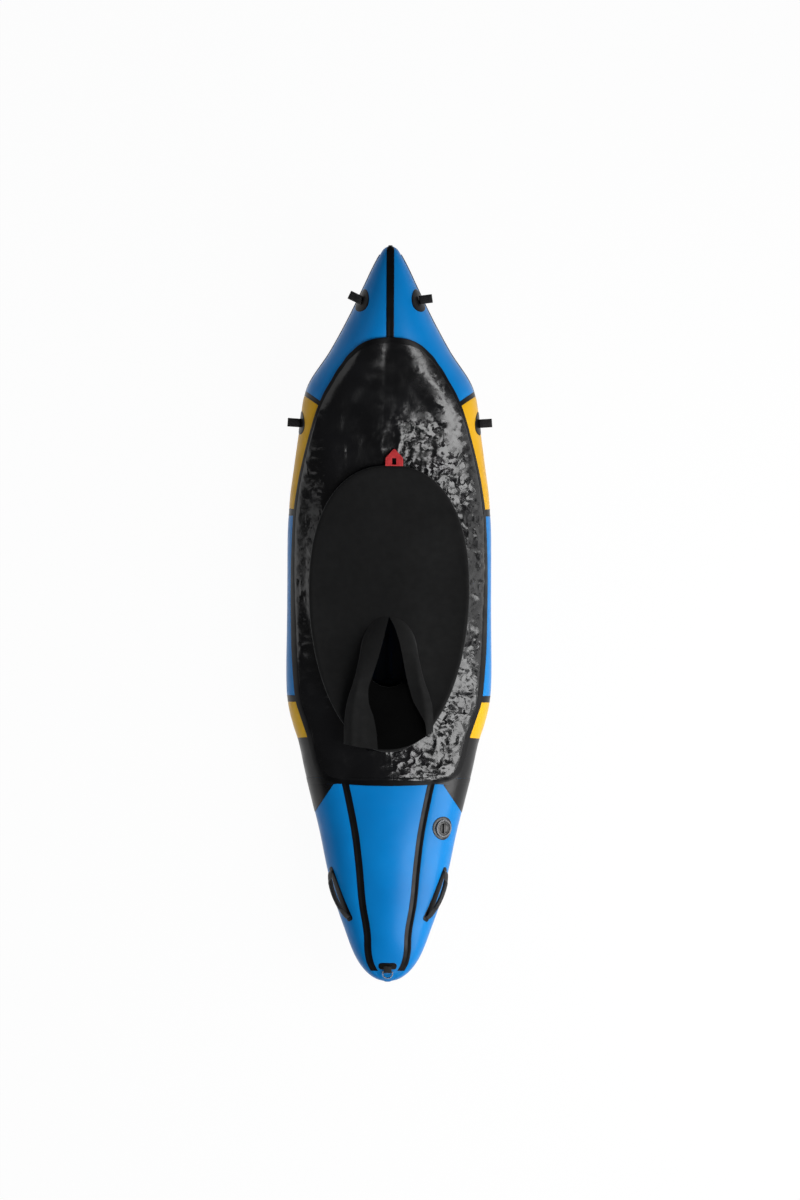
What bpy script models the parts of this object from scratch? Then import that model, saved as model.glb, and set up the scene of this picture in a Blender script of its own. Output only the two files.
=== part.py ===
"""Solo decked packraft: a ring of welded inflated tubes, a floor, a spray deck with its skirt, and fittings.

Metres, +Z up, +Y towards the bow, +X to the paddler's right. The origin is on the surface that the
floor rests on, under the middle of the overall length and beam.
"""

import math

import bpy
import bmesh
from mathutils import Matrix, Vector

# Hull
LENGTH = 2.90
BEAM = 0.812
TUBE_RADIUS = 0.132
BOW_RISE = 0.262
STERN_RISE = 0.135
STERN_CROWN = 0.022

# Fabric thicknesses and the gaps between welded or sewn layers
PANEL_THICKNESS = 0.0015
TAPE_THICKNESS = 0.0006
FLOOR_THICKNESS = 0.0020
DECK_THICKNESS = 0.0012
SKIRT_THICKNESS = 0.0015
PATCH_THICKNESS = 0.0012
FIT_GAP = 0.0003
CURVE_GAP = 0.0007
BOW_TAPE_GAP = 0.0016
DECK_LIFT = 0.0015

# Seam tapes
FRONT_SEAM_WIDTH = 0.018
MIDDLE_SEAM_WIDTH = 0.028
REAR_SEAM_WIDTH = 0.026
BOW_TAPE_WIDTH = 0.030
STERN_TAPE_WIDTH = 0.028
DECK_STRIP_WIDTH = 0.022

# Cockpit
COAMING_ROD_RADIUS = 0.0075
SLEEVE_THICKNESS = 0.0012
SLEEVE_EASE = 0.0014
COAMING_LIFT = 0.0468
COAMING_NECK = 0.020
COAMING_FLARE = 0.003
COAMING_FRONT_RISE = 0.034
SKIRT_HALF_WIDTH = 0.316
SKIRT_FRONT = 0.585
SKIRT_REAR = -0.545
SKIRT_WIDEST = 0.095
SKIRT_SKIRTING = 0.010
SKIRT_SHOULDER = 0.011
SKIRT_SAG = 0.008
HEM_CORD_RADIUS = 0.0030
WAIST_HOLE_HALF_WIDTH = 0.112
WAIST_HOLE_HALF_LENGTH = 0.140
WAIST_HOLE_CENTRE = -0.150
WAIST_HOLE_RISE = 0.012
TUNNEL_THICKNESS = 0.0015
TUNNEL_HALF_WIDTH = 0.176
TUNNEL_REAR = -0.535
TUNNEL_RIDGE = 0.046
GRAB_TAB_WIDTH = 0.070
GRAB_TAB_LENGTH = 0.068
GRAB_TAB_THICKNESS = 0.0030
GRAB_TAB_SLOT_WIDTH = 0.016
GRAB_TAB_SLOT_LENGTH = 0.026
GRAB_TAB_SETBACK = 0.0022

# Tie-down points
TIE_PATCH_RADIUS = 0.046
TIE_LOOP_LENGTH = 0.052
TIE_LOOP_WIDTH = 0.034
LOOP_WALL = 0.0024
LOOP_RADIUS = 0.0060
LOOP_CLEARANCE = 0.0005
SIDE_LOOP_SINK = 0.0016
HANDLE_SINK = 0.0024

# Carry handles
HANDLE_BASE_WIDTH = 0.030
HANDLE_HEIGHT = 0.028
HANDLE_GRIP_RADIUS = 0.0090

# Stern ring
STERN_PATCH_HALF_WIDTH = 0.036
STERN_PATCH_HALF_LENGTH = 0.021
STERN_TAB_WIDTH = 0.030
STERN_TAB_LENGTH = 0.026
RING_WIRE_RADIUS = 0.0023
RING_WIDTH = 0.043
RING_DEPTH = 0.030

# Inflation valve
VALVE_FLANGE_RADIUS = 0.046
VALVE_COLLAR_RADIUS = 0.035
VALVE_COLLAR_HEIGHT = 0.0085
VALVE_RECESS_RADIUS = 0.0285
VALVE_RECESS_DEPTH = 0.0060
VALVE_NECK_RADIUS = 0.0250
VALVE_BORE_RADIUS = 0.0210
VALVE_SEAT_THICKNESS = 0.0030
VALVE_SEAT_DEPTH = 0.0220
VALVE_CLEARANCE = 0.0004
POPPET_DISC_RADIUS = 0.0195
POPPET_DISC_THICKNESS = 0.0025
POPPET_STEM_RADIUS = 0.0035
POPPET_BUTTON_RADIUS = 0.0080
POPPET_BUTTON_THICKNESS = 0.0030
POPPET_BUTTON_DEPTH = 0.0060
SPRING_RADIUS = 0.0058
SPRING_WIRE_RADIUS = 0.0006
CAP_THICKNESS = 0.0045
CAP_PLUG_WALL = 0.0022
CAP_PLUG_DEPTH = 0.0030
CAP_GRIP_LENGTH = 0.040
CAP_GRIP_WIDTH = 0.009
CAP_GRIP_HEIGHT = 0.0050

# Seat and backrest
SEAT_SIDE_GAP = 0.012
SEAT_FRONT = 0.100
SEAT_REAR = -0.300
SEAT_HEIGHT = 0.080
BACKREST_SIDE_GAP = 0.018
BACKREST_THICKNESS = 0.060
BACKREST_DROP = 0.052
BACKREST_GAP = 0.0006
CUSHION_EDGE = 0.030
BACK_STRAP_HEIGHT = 0.185
BACK_STRAP_WIDTH = 0.025
BACK_STRAP_THICKNESS = 0.0020
BACK_STRAP_END = 0.050
BACK_STRAP_SETBACK = 0.010
STRAP_TAB_RADIUS = 0.032
BACK_STRAP_LIFT = 0.0018
CUSHION_CORNER = 0.045
HANDLE_END_RADIUS = 0.0045
RING_CLEARANCE = 0.0006
STERN_TAB_WALL = 0.0016
STERN_TAB_LIFT = 0.0005
RING_STRAIGHT = 0.006
VALVE_FLANGE_THICKNESS = 0.0012
VALVE_PORT_WIDTH = 0.008
VALVE_PORT_START = 0.0095
VALVE_PORT_END = 0.0165
TUNNEL_BASE_LIFT = 0.003
TUNNEL_SWEEP = 0.045
GRAB_TAB_OFFSET = 0.018

WELD_DISTANCE = 0.000002
PROBE = 0.0005

# Places along the hull, as shares of its length from the bow tip
FRONT_SEAM_SHARE = 0.2003
MIDDLE_SEAM_SHARE = 0.3617
REAR_SEAM_SHARE = 0.6158
QUARTER_SEAM_SHARE = 0.6696
BULKHEAD_SHARE = 0.7234
GUSSET_START_SHARE = 0.7316
GUSSET_END_SHARE = 0.7710
GUSSET_WIDTH_SHARES = (0.530, 0.718)
FLOOR_ROW_SHARES = (0.0123, 0.987)
FLOOR_SEAM_SHARE = 0.3250
BOW_ROW_SHARES = (0.0004, 0.0041, 0.0123, 0.0286, 0.0531, 0.0735, 0.094, 0.12, 0.143, 0.17)
SIDE_ROW_SHARES = (0.235, 0.27, 0.31, 0.40, 0.49, 0.57, 0.645, 0.695)
STERN_ROW_SHARES = (
    0.747, 0.771, 0.80, 0.83, 0.86, 0.89, 0.915, 0.94, 0.96, 0.977, 0.987, 0.993, 0.998, 0.9996,
)

# Half width of the hull's outline, as shares of half the beam
OUTLINE_SHARES = (
    (0.0, 0.012), (0.0041, 0.063), (0.0123, 0.102), (0.0286, 0.165), (0.0531, 0.248),
    (0.094, 0.389), (0.143, 0.579), (0.192, 0.803), (0.208, 0.842), (0.249, 0.881),
    (0.298, 0.929), (0.347, 0.973), (0.40, 0.992), (0.50, 0.994), (0.576, 1.0),
    (0.609, 0.993), (0.625, 0.978), (0.650, 0.934), (0.674, 0.878), (0.715, 0.813),
    (0.748, 0.754), (0.797, 0.667), (0.846, 0.594), (0.895, 0.506), (0.928, 0.423),
    (0.960, 0.336), (0.977, 0.268), (0.993, 0.156), (0.998, 0.085), (1.0, 0.020),
)
# Half width and half height of the tube's section, as shares of the tube's radius
TUBE_WIDTH_SHARES = (
    (0.0, 0.07), (0.0041, 0.285), (0.0123, 0.40), (0.0286, 0.60), (0.0531, 0.83),
    (0.094, 1.0), (0.143, 1.02), (0.30, 1.0), (0.62, 1.0), (0.70, 1.07),
    (0.7234, 1.13), (0.79, 1.07), (0.838, 0.99), (0.887, 0.83), (0.936, 0.63),
    (0.960, 0.45), (0.977, 0.33), (0.993, 0.23), (0.998, 0.17), (1.0, 0.05),
)
TUBE_HEIGHT_SHARES = (
    (0.0, 0.20), (0.0041, 0.30), (0.0123, 0.40), (0.0286, 0.56), (0.0531, 0.76),
    (0.094, 0.95), (0.143, 1.02), (0.22, 1.02), (0.30, 1.0), (0.66, 1.0),
    (0.7234, 1.03), (0.79, 1.02), (0.838, 0.95), (0.887, 0.85), (0.936, 0.70),
    (0.960, 0.58), (0.977, 0.47), (0.993, 0.30), (0.998, 0.18), (1.0, 0.06),
)
BOW_RISE_SHARES = (
    (0.0, 1.0), (0.0286, 0.925), (0.0531, 0.85), (0.094, 0.715), (0.143, 0.535),
    (0.20, 0.35), (0.26, 0.20), (0.32, 0.09), (0.37, 0.02), (0.40, 0.0), (1.0, 0.0),
)
STERN_RISE_SHARES = (
    (0.0, 0.0), (0.64, 0.0), (0.70, 0.05), (0.78, 0.18), (0.85, 0.36),
    (0.90, 0.53), (0.95, 0.74), (0.977, 0.87), (1.0, 1.0),
)
CROWN_SHARES = ((0.0, 0.0), (0.66, 0.0), (0.7234, 0.7), (0.80, 1.0), (0.93, 0.8), (0.977, 0.4), (1.0, 0.0))
# Turn of each section plane away from square across, in shares of a right angle
SLANT_SHARES = (
    (0.0, 0.644), (0.0041, 0.60), (0.0123, 0.511), (0.0286, 0.422), (0.0531, 0.367),
    (0.094, 0.344), (0.143, 0.356), (0.20, 0.389), (0.27, 0.244), (0.34, 0.078),
    (0.40, 0.0), (0.64, 0.0), (0.674, -0.067), (0.70, -0.044), (0.7234, 0.0), (1.0, 0.0),
)
# The deck's edge: place along the hull and half width, as shares of the length and of half the beam
DECK_EDGE_SHARES = (
    (0.1240, 0.0), (0.1267, 0.156), (0.1349, 0.297), (0.1431, 0.365), (0.1512, 0.423),
    (0.1594, 0.462), (0.1676, 0.506), (0.1839, 0.574), (0.2003, 0.642), (0.2248, 0.715),
    (0.2575, 0.783), (0.2902, 0.842), (0.3229, 0.891), (0.3719, 0.937), (0.4537, 0.955),
    (0.5354, 0.949), (0.5926, 0.925), (0.6172, 0.905), (0.6417, 0.852), (0.6662, 0.793),
    (0.6853, 0.759), (0.7044, 0.725), (0.7180, 0.681), (0.7262, 0.603), (0.7316, 0.438),
    (0.7337, 0.200), (0.7343, 0.0),
)
DECK_RING_SHARES = (0.20, 0.34, 0.52, 0.73, 1.0)
DECK_SAG_SHARE = 0.05
COAMING_POWER = 2.3
RING_STEPS = 44
TUNNEL_STEPS = 20
SPRING_TURNS = 5
DRAPE_PASSES = 3
HANDLE_ARCH_POWER = 0.6
GRAB_TAB_SLOPE = 8.0
GRAB_TAB_HEIGHT_SHARE = 0.85
BOW_TIE_SHARE = 0.0715
BOW_TIE_TURN_SHARE = 0.32
SIDE_TIE_SHARE = 0.2400
SIDE_TIE_TURN_SHARE = 0.15
BOW_LOOP_TURN_SHARES = (0.08, -0.12)
HANDLE_SHARES = (0.8500, 0.9130)
HANDLE_TURN_SHARES = (0.32, 0.56)
STERN_PATCH_SHARE = 0.9790
VALVE_SHARE = 0.7915
VALVE_TURN_SHARE = 0.60
# The tunnel's rows: place from hole to mouth, tilt from level, width, depth and lift
TUNNEL_SHARES = (
    (0.0, 0.0, 0.636, 1.0, 0.0),
    (0.02, 0.09, 0.66, 0.86, 0.5),
    (0.05, 0.18, 0.71, 0.64, 1.0),
    (0.09, 0.32, 0.78, 0.40, 1.0),
    (0.15, 0.55, 0.86, 0.22, 1.0),
    (0.28, 0.80, 0.93, 0.15, 1.0),
    (0.48, 0.95, 0.98, 0.135, 1.0),
    (0.74, 1.0, 1.0, 0.135, 1.0),
    (1.0, 1.0, 1.0, 0.14, 1.0),
)
TUBE_COLUMNS = 16
PATCH_STEPS = 20
BOW_FLOOR_EDGE_COLUMN = 1
FLOOR_EDGE_COLUMN = 4
GUSSET_EDGE_COLUMN = 3
RIGHT_ANGLE = math.pi / 2


def monotone_curve(table):
    """A smooth curve through (place, value) pairs that doesn't overshoot between them."""
    places = [place for place, _ in table]
    values = [value for _, value in table]
    steps = [b - a for a, b in zip(places, places[1:])]
    slopes = [(b - a) / step for a, b, step in zip(values, values[1:], steps)]
    ends = [slopes[0]]
    for left, right, before, after in zip(slopes, slopes[1:], steps, steps[1:]):
        if left * right <= 0:
            ends.append(0.0)
            continue
        one = 2 * after + before
        two = after + 2 * before
        ends.append((one + two) / (one / left + two / right))
    ends.append(slopes[-1])

    def value_at(place):
        place = min(max(place, places[0]), places[-1])
        index = 0
        while index < len(steps) - 1 and place > places[index + 1]:
            index += 1
        step = steps[index]
        t = (place - places[index]) / step
        value = values[index] * (1 + 2 * t) * (1 - t) ** 2
        value += values[index + 1] * t * t * (3 - 2 * t)
        value += ends[index] * step * t * (1 - t) ** 2
        return value - ends[index + 1] * step * t * t * (1 - t)

    return value_at


outline_share = monotone_curve(OUTLINE_SHARES)
tube_width_share = monotone_curve(TUBE_WIDTH_SHARES)
tube_height_share = monotone_curve(TUBE_HEIGHT_SHARES)
bow_rise_share = monotone_curve(BOW_RISE_SHARES)
stern_rise_share = monotone_curve(STERN_RISE_SHARES)
crown_share = monotone_curve(CROWN_SHARES)
slant_share = monotone_curve(SLANT_SHARES)
deck_edge_share = monotone_curve(DECK_EDGE_SHARES)

TAPE_TOP = FIT_GAP + TAPE_THICKNESS
FLOOR_LIFT = TAPE_TOP + FIT_GAP
AXIS_REST = TUBE_RADIUS + FLOOR_LIFT + FLOOR_THICKNESS
SLEEVE_RADIUS = COAMING_ROD_RADIUS + SLEEVE_EASE + SLEEVE_THICKNESS
BULKHEAD = BULKHEAD_SHARE * LENGTH
COAMING_HEIGHT = AXIS_REST + TUBE_RADIUS + COAMING_LIFT
COCKPIT_HALF_WIDTH = BEAM / 2 - 2 * TUBE_RADIUS
SEAT_HALF_WIDTH = COCKPIT_HALF_WIDTH - SEAT_SIDE_GAP
BACKREST_HALF_WIDTH = COCKPIT_HALF_WIDTH - BACKREST_SIDE_GAP
BACKREST_TOP = COAMING_HEIGHT - BACKREST_DROP


def half_width(s):
    return BEAM / 2 * outline_share(s / LENGTH)


def tube_half_width(s):
    return TUBE_RADIUS * tube_width_share(s / LENGTH)


def tube_half_height(s):
    return TUBE_RADIUS * tube_height_share(s / LENGTH)


def axis_height(s):
    share = s / LENGTH
    return AXIS_REST + BOW_RISE * bow_rise_share(share) + STERN_RISE * stern_rise_share(share)


def slant(s):
    return RIGHT_ANGLE * slant_share(s / LENGTH)


def along(s):
    """The row's Y, s metres aft of the bow tip."""
    return LENGTH / 2 - s


def axis_point(s):
    """The middle of the right tube's section, and the level direction across it."""
    across = Vector((math.cos(slant(s)), math.sin(slant(s)), 0))
    edge = Vector((half_width(s), along(s), axis_height(s)))
    return edge - across * tube_half_width(s), across


def side_point(s, angle, lift=0.0):
    """A point on the right tube: angle 0 is outboard and a right angle is on top."""
    centre, across = axis_point(s)
    wide = tube_half_width(s)
    high = tube_half_height(s)
    out = Vector((high * math.cos(angle), wide * math.sin(angle)))
    out.normalize()
    point = centre + across * (wide * math.cos(angle) + lift * out.x)
    point.z += high * math.sin(angle) + lift * out.y
    return point


def side_normal(s, angle):
    down = side_point(s + PROBE, angle) - side_point(s - PROBE, angle)
    turn = PROBE / tube_half_width(s)
    round_tube = side_point(s, angle + turn) - side_point(s, angle - turn)
    normal = round_tube.cross(down)
    normal.normalize()
    return normal


def mitre_angle(s):
    """How far round the section runs before it meets the boat's middle plane."""
    centre, across = axis_point(s)
    cosine = (FIT_GAP / 2 - centre.x) / (tube_half_width(s) * across.x)
    return math.pi if cosine <= -1 else math.acos(cosine)


def crest_width(s):
    return half_width(s) - tube_half_width(s)


def top_point(s, share, lift=0.0):
    """A point on the stern's top panel, from share -1 at the left tape to 1 at the right."""
    crown = STERN_CROWN * crown_share(s / LENGTH)
    z = axis_height(s) + tube_half_height(s) + crown * (1 - share * share) + lift
    return Vector((crest_width(s) * share, along(s), z))


def hull_top(x, y):
    """The hull's upper surface over a point in plan, or None between the tubes."""
    x = abs(x)
    s = LENGTH / 2 - y
    if s >= BULKHEAD and x < crest_width(s):
        return top_point(s, x / crest_width(s)).z
    low = 0.0
    high = LENGTH
    for _ in range(40):
        s = (low + high) / 2
        if y - along(s) - (x - half_width(s)) * math.tan(slant(s)) > 0:
            high = s
        else:
            low = s
    centre, across = axis_point(s)
    cosine = (x - centre.x) / (across.x * tube_half_width(s))
    if abs(cosine) > 1:
        return None
    return centre.z + tube_half_height(s) * math.sqrt(1 - cosine * cosine)


def row_places():
    """Every row along the hull. The seams' rows stand at the tapes' edges, so that layers share facets."""
    places = [share * LENGTH for share in BOW_ROW_SHARES + SIDE_ROW_SHARES + STERN_ROW_SHARES]
    seams = (
        (FRONT_SEAM_SHARE, FRONT_SEAM_WIDTH),
        (MIDDLE_SEAM_SHARE, MIDDLE_SEAM_WIDTH),
        (REAR_SEAM_SHARE, REAR_SEAM_WIDTH),
    )
    for share, width in seams:
        places += [share * LENGTH - width / 2, share * LENGTH, share * LENGTH + width / 2]
    places += [QUARTER_SEAM_SHARE * LENGTH, BULKHEAD]
    return sorted(places)


ROWS = row_places()


def rows_between(start, end):
    """The rows from start to end, drawn in by half a fitting gap at each end."""
    inside = [s for s in ROWS if start + FIT_GAP < s < end - FIT_GAP]
    return [start + FIT_GAP / 2] + inside + [end - FIT_GAP / 2]


def clear_scene():
    for obj in list(bpy.data.objects):
        bpy.data.objects.remove(obj, do_unlink=True)


def make_material(name, colour, roughness, metallic=0.0):
    material = bpy.data.materials.new(name)
    material.use_nodes = True
    shader = material.node_tree.nodes["Principled BSDF"]
    shader.inputs["Base Color"].default_value = (*colour, 1)
    shader.inputs["Roughness"].default_value = roughness
    shader.inputs["Metallic"].default_value = metallic
    material.diffuse_color = (*colour, 1)
    return material


FINISHES = {
    "blue": ((0.010, 0.235, 0.720), 0.32, 0.0),
    "yellow": ((0.810, 0.470, 0.020), 0.35, 0.0),
    "black_coated": ((0.012, 0.012, 0.013), 0.30, 0.0),
    "black_tape": ((0.010, 0.010, 0.011), 0.45, 0.0),
    "black_webbing": ((0.014, 0.014, 0.015), 0.80, 0.0),
    "skirt_black": ((0.006, 0.006, 0.006), 0.85, 0.0),
    "red": ((0.560, 0.020, 0.025), 0.55, 0.0),
    "black_plastic": ((0.015, 0.015, 0.016), 0.35, 0.0),
    "grey_plastic": ((0.200, 0.205, 0.215), 0.25, 0.0),
    "steel": ((0.600, 0.600, 0.610), 0.22, 1.0),
    "seat_grey": ((0.045, 0.047, 0.050), 0.60, 0.0),
}


def add_object(name, finish, points, faces, smooth=True):
    """One closed mesh from points and faces, with coincident points made one."""
    shape = bmesh.new()
    corners = [shape.verts.new(point) for point in points]
    for face in faces:
        shape.faces.new([corners[index] for index in face])
    bmesh.ops.remove_doubles(shape, verts=shape.verts, dist=WELD_DISTANCE)
    bmesh.ops.recalc_face_normals(shape, faces=shape.faces)
    if shape.calc_volume(signed=True) < 0:
        bmesh.ops.reverse_faces(shape, faces=shape.faces)
    mesh = bpy.data.meshes.new(name)
    shape.to_mesh(mesh)
    shape.free()
    if smooth:
        mesh.shade_smooth()
        mesh.set_sharp_from_angle(angle=math.radians(35))
    colour, roughness, metallic = FINISHES[finish]
    mesh.materials.append(make_material(name, colour, roughness, metallic))
    obj = bpy.data.objects.new(name, mesh)
    bpy.context.scene.collection.objects.link(obj)
    return obj


def add_slab(name, finish, outer, inner, ring=False, open_spans=None, inner_wall=True, outer_wall=True):
    """A sheet with thickness between two grids of points, whose rows may close into a ring."""
    rows = len(outer)
    columns = len(outer[0])
    spans = rows if ring else rows - 1
    points = [point for row in outer for point in row] + [point for row in inner for point in row]
    back = rows * columns
    faces = []
    for i in range(spans):
        near = i * columns
        far = (i + 1) % rows * columns
        for j in range(columns - 1):
            faces.append((near + j, far + j, far + j + 1))
            faces.append((near + j, far + j + 1, near + j + 1))
            faces.append((back + near + j, back + far + j + 1, back + far + j))
            faces.append((back + near + j, back + near + j + 1, back + far + j + 1))
        if open_spans is not None and not open_spans[i]:
            continue
        last = columns - 1
        if inner_wall:
            faces.append((near, back + near, back + far, far))
        if outer_wall:
            faces.append((near + last, far + last, back + far + last, back + near + last))
    if not ring:
        for row in (0, (rows - 1) * columns):
            for j in range(columns - 1):
                faces.append((row + j, row + j + 1, back + row + j + 1, back + row + j))
    return add_object(name, finish, points, faces)


def add_skin(name, finish, sections, ring=False, smooth=True):
    """A solid skinned over closed sections, capped at its ends unless they join into a ring."""
    rows = len(sections)
    columns = len(sections[0])
    points = [point for section in sections for point in section]
    faces = []
    for i in range(rows if ring else rows - 1):
        near = i * columns
        far = (i + 1) % rows * columns
        for j in range(columns):
            k = (j + 1) % columns
            faces.append((near + j, far + j, far + k, near + k))
    if not ring:
        faces.append(tuple(range(columns)))
        faces.append(tuple(range(columns * rows - 1, columns * (rows - 1) - 1, -1)))
    return add_object(name, finish, points, faces, smooth)


def mirrored(points):
    """The same grid on the boat's left."""
    return [[Vector((-p.x, p.y, p.z)) for p in row] for row in points]


def on_side(points, side):
    return points if side > 0 else mirrored(points)


def vertex_normal(grid, i, j, ring):
    rows = len(grid)
    before = grid[(i - 1) % rows] if ring else grid[max(i - 1, 0)]
    after = grid[(i + 1) % rows] if ring else grid[min(i + 1, rows - 1)]
    row = grid[i]
    one = after[j] - before[j]
    two = row[min(j + 1, len(row) - 1)] - row[max(j - 1, 0)]
    normal = one.cross(two)
    normal.normalize()
    return normal


def offset_grid(grid, distance, ring=False):
    """The grid moved along its own normals."""
    return [
        [point + vertex_normal(grid, i, j, ring) * distance for j, point in enumerate(row)]
        for i, row in enumerate(grid)
    ]


def column_angles(limit):
    """Angles round the tube, from its inner top, over the outside, to its inner bottom."""
    angles = [math.pi - step * 2 * math.pi / TUBE_COLUMNS for step in range(TUBE_COLUMNS + 1)]
    return [min(max(angle, -limit), limit) for angle in angles]


def tube_grid(places, lift):
    return [[side_point(s, angle, lift) for angle in column_angles(mitre_angle(s))] for s in places]


def add_tube_panel(name, finish, start, end, side):
    """One panel of the ring: a sleeve round the tube, cut on the middle plane where the bow's halves meet."""
    places = rows_between(start, end)
    outer = tube_grid(places, 0.0)
    inner = tube_grid(places, -PANEL_THICKNESS)
    closed = [mitre_angle(s) >= math.pi for s in places]
    open_spans = [not (a and b) for a, b in zip(closed, closed[1:])]
    return add_slab(name, finish, on_side(outer, side), on_side(inner, side), open_spans=open_spans)


def add_cross_tape(name, share, width, side):
    middle = share * LENGTH
    places = [middle - width / 2, middle, middle + width / 2]
    outer = tube_grid(places, TAPE_TOP)
    inner = tube_grid(places, FIT_GAP)
    spans = [False, False]
    return add_slab(name, "black_tape", on_side(outer, side), on_side(inner, side), open_spans=spans)


def add_hull_ring():
    bow = ROWS[0]
    front = FRONT_SEAM_SHARE * LENGTH
    middle = MIDDLE_SEAM_SHARE * LENGTH
    rear = REAR_SEAM_SHARE * LENGTH
    quarter = QUARTER_SEAM_SHARE * LENGTH
    for side, word in ((-1, "left"), (1, "right")):
        add_tube_panel("bow_panel_" + word, "blue", bow, front, side)
        add_tube_panel("front_side_panel_" + word, "yellow", front, middle, side)
        add_tube_panel("mid_side_panel_" + word, "blue", middle, rear, side)
        add_tube_panel("rear_side_panel_" + word, "yellow", rear, quarter, side)
        add_tube_panel("rear_quarter_panel_" + word, "black_coated", quarter, BULKHEAD, side)
        add_cross_tape("front_seam_tape_" + word, FRONT_SEAM_SHARE, FRONT_SEAM_WIDTH, side)
        add_cross_tape("middle_seam_tape_" + word, MIDDLE_SEAM_SHARE, MIDDLE_SEAM_WIDTH, side)
        add_cross_tape("rear_seam_tape_" + word, REAR_SEAM_SHARE, REAR_SEAM_WIDTH, side)


def stern_side_row(s, lift):
    """From the stern tape, over the outside and under, to the middle of the underside."""
    top = RIGHT_ANGLE - FIT_GAP / tube_half_width(s)
    steps = TUBE_COLUMNS // 2
    row = [side_point(s, top - step * (top + RIGHT_ANGLE) / steps, lift) for step in range(steps + 1)]
    bottom = row[-1]
    return row + [Vector((FIT_GAP / 2 - min(lift, 0), bottom.y, bottom.z))]


def add_stern():
    places = rows_between(BULKHEAD, LENGTH)[:-1]
    for side, word in ((-1, "left"), (1, "right")):
        outer = [stern_side_row(s, 0.0) for s in places]
        inner = [stern_side_row(s, -PANEL_THICKNESS) for s in places]
        add_slab("stern_side_panel_" + word, "blue", on_side(outer, side), on_side(inner, side))
    columns = 6
    shares = [2 * j / columns - 1 for j in range(columns + 1)]
    outer = [[top_point(s, share) for share in shares] for s in places]
    inner = [[top_point(s, share, -PANEL_THICKNESS) for share in shares] for s in places]
    add_slab("stern_top_panel", "blue", outer, inner)
    add_bulkhead()
    add_stern_tapes(places)


def add_bulkhead():
    """The wall between the side tubes' ends that closes the stern chamber towards the cockpit."""
    s = BULKHEAD + FIT_GAP
    depth = PANEL_THICKNESS + FIT_GAP
    shares = (-1, -0.67, -0.33, 0, 0.33, 0.67)
    rim = [top_point(s, share, -depth) for share in shares]
    turns = TUBE_COLUMNS // 2
    right = [side_point(s, RIGHT_ANGLE + step * math.pi / turns) for step in range(turns + 1)]
    right[0].z -= depth
    right[-1].z += depth
    for point in right:
        point.x = max(point.x, FIT_GAP)
    left = [Vector((-p.x, p.y, p.z)) for p in reversed(right[1:])]
    front = [Vector((p.x, along(s), p.z)) for p in rim + right + left]
    rear = [Vector((p.x, p.y - PANEL_THICKNESS, p.z)) for p in front]
    add_skin("stern_bulkhead", "black_coated", [front, rear])


def add_stern_tapes(places):
    """Two long tapes over the seams between the top panel and the side panels."""
    tape_rows = places[:-4]
    for side, word in ((-1, "left"), (1, "right")):
        grids = []
        for lift in (CURVE_GAP + TAPE_THICKNESS, CURVE_GAP):
            grid = []
            for s in tape_rows:
                wide = tube_half_width(s)
                inward = 1 - STERN_TAPE_WIDTH / 2 / crest_width(s)
                outward = RIGHT_ANGLE - STERN_TAPE_WIDTH / 2 / wide
                halfway = RIGHT_ANGLE - STERN_TAPE_WIDTH / 4 / wide
                grid.append([
                    top_point(s, inward, lift),
                    side_point(s, RIGHT_ANGLE, lift),
                    side_point(s, halfway, lift),
                    side_point(s, outward, lift),
                ])
            grids.append(on_side(grid, side))
        add_slab("stern_seam_tape_" + word, "black_tape", grids[0], grids[1])


def add_gussets():
    """Black corners over the front of the stern's side panels, trimmed along a slanting line."""
    start = BULKHEAD + FIT_GAP
    end = GUSSET_END_SHARE * LENGTH
    near = Vector((BEAM / 2 * GUSSET_WIDTH_SHARES[0], along(GUSSET_START_SHARE * LENGTH), 0))
    far = Vector((BEAM / 2 * GUSSET_WIDTH_SHARES[1], along(end), 0))
    turn = 2 * math.pi / TUBE_COLUMNS
    low = -turn * GUSSET_EDGE_COLUMN + FIT_GAP / TUBE_RADIUS
    columns = [turn * step for step in range(4, -GUSSET_EDGE_COLUMN, -1)] + [low]
    rows = [start] + [s for s in ROWS if start + PROBE < s < end] + [end]
    reach = BEAM
    for side, word in ((-1, "left"), (1, "right")):
        line = far - near
        out = Vector((-line.y, line.x, 0)).normalized()
        origin = Vector((near.x * side, near.y, 0))
        axes = [line.normalized(), out if out.x > 0 else -out, Vector((0, 0, 1))]
        if side < 0:
            axes = [Vector((-axis.x, axis.y, axis.z)) for axis in axes]
        keep = add_box("keep", "red", (-reach, 0, -reach), (reach, reach, reach), (origin, tuple(axes)))
        add_overlay(
            "rear_gusset_" + word, "black_coated", rows, columns, CURVE_GAP, TAPE_THICKNESS, side, keep
        )


def add_bow_tape():
    """The tape over the bow's middle seam: back along the top, round the tip and back underneath."""
    rear = DECK_EDGE_SHARES[0][0] * LENGTH
    places = [s for s in ROWS if s < 0.8 * rear]
    under = [s for s in places if s < FLOOR_ROW_SHARES[0] * LENGTH]
    grids = []
    for lift in (BOW_TAPE_GAP + TAPE_THICKNESS, BOW_TAPE_GAP):
        grid = []
        for s in reversed(places):
            grid.append(tape_row(s, lift, 1))
        for s in under:
            grid.append(tape_row(s, lift, -1))
        grids.append(grid)
    add_slab("bow_seam_tape", "black_tape", grids[0], grids[1])


def tape_row(s, lift, top):
    """Points across the middle seam at one row, over the top or underneath."""
    limit = mitre_angle(s)
    steps = 3
    half = []
    for step in range(steps + 1):
        turn = min(step / steps * BOW_TAPE_WIDTH / 2 / tube_half_height(s), 0.8 * limit)
        half.append(side_point(s, top * (limit - turn), lift))
    half[0].x = 0.0
    return [Vector((-p.x, p.y, p.z)) for p in reversed(half[1:])] + half


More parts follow.
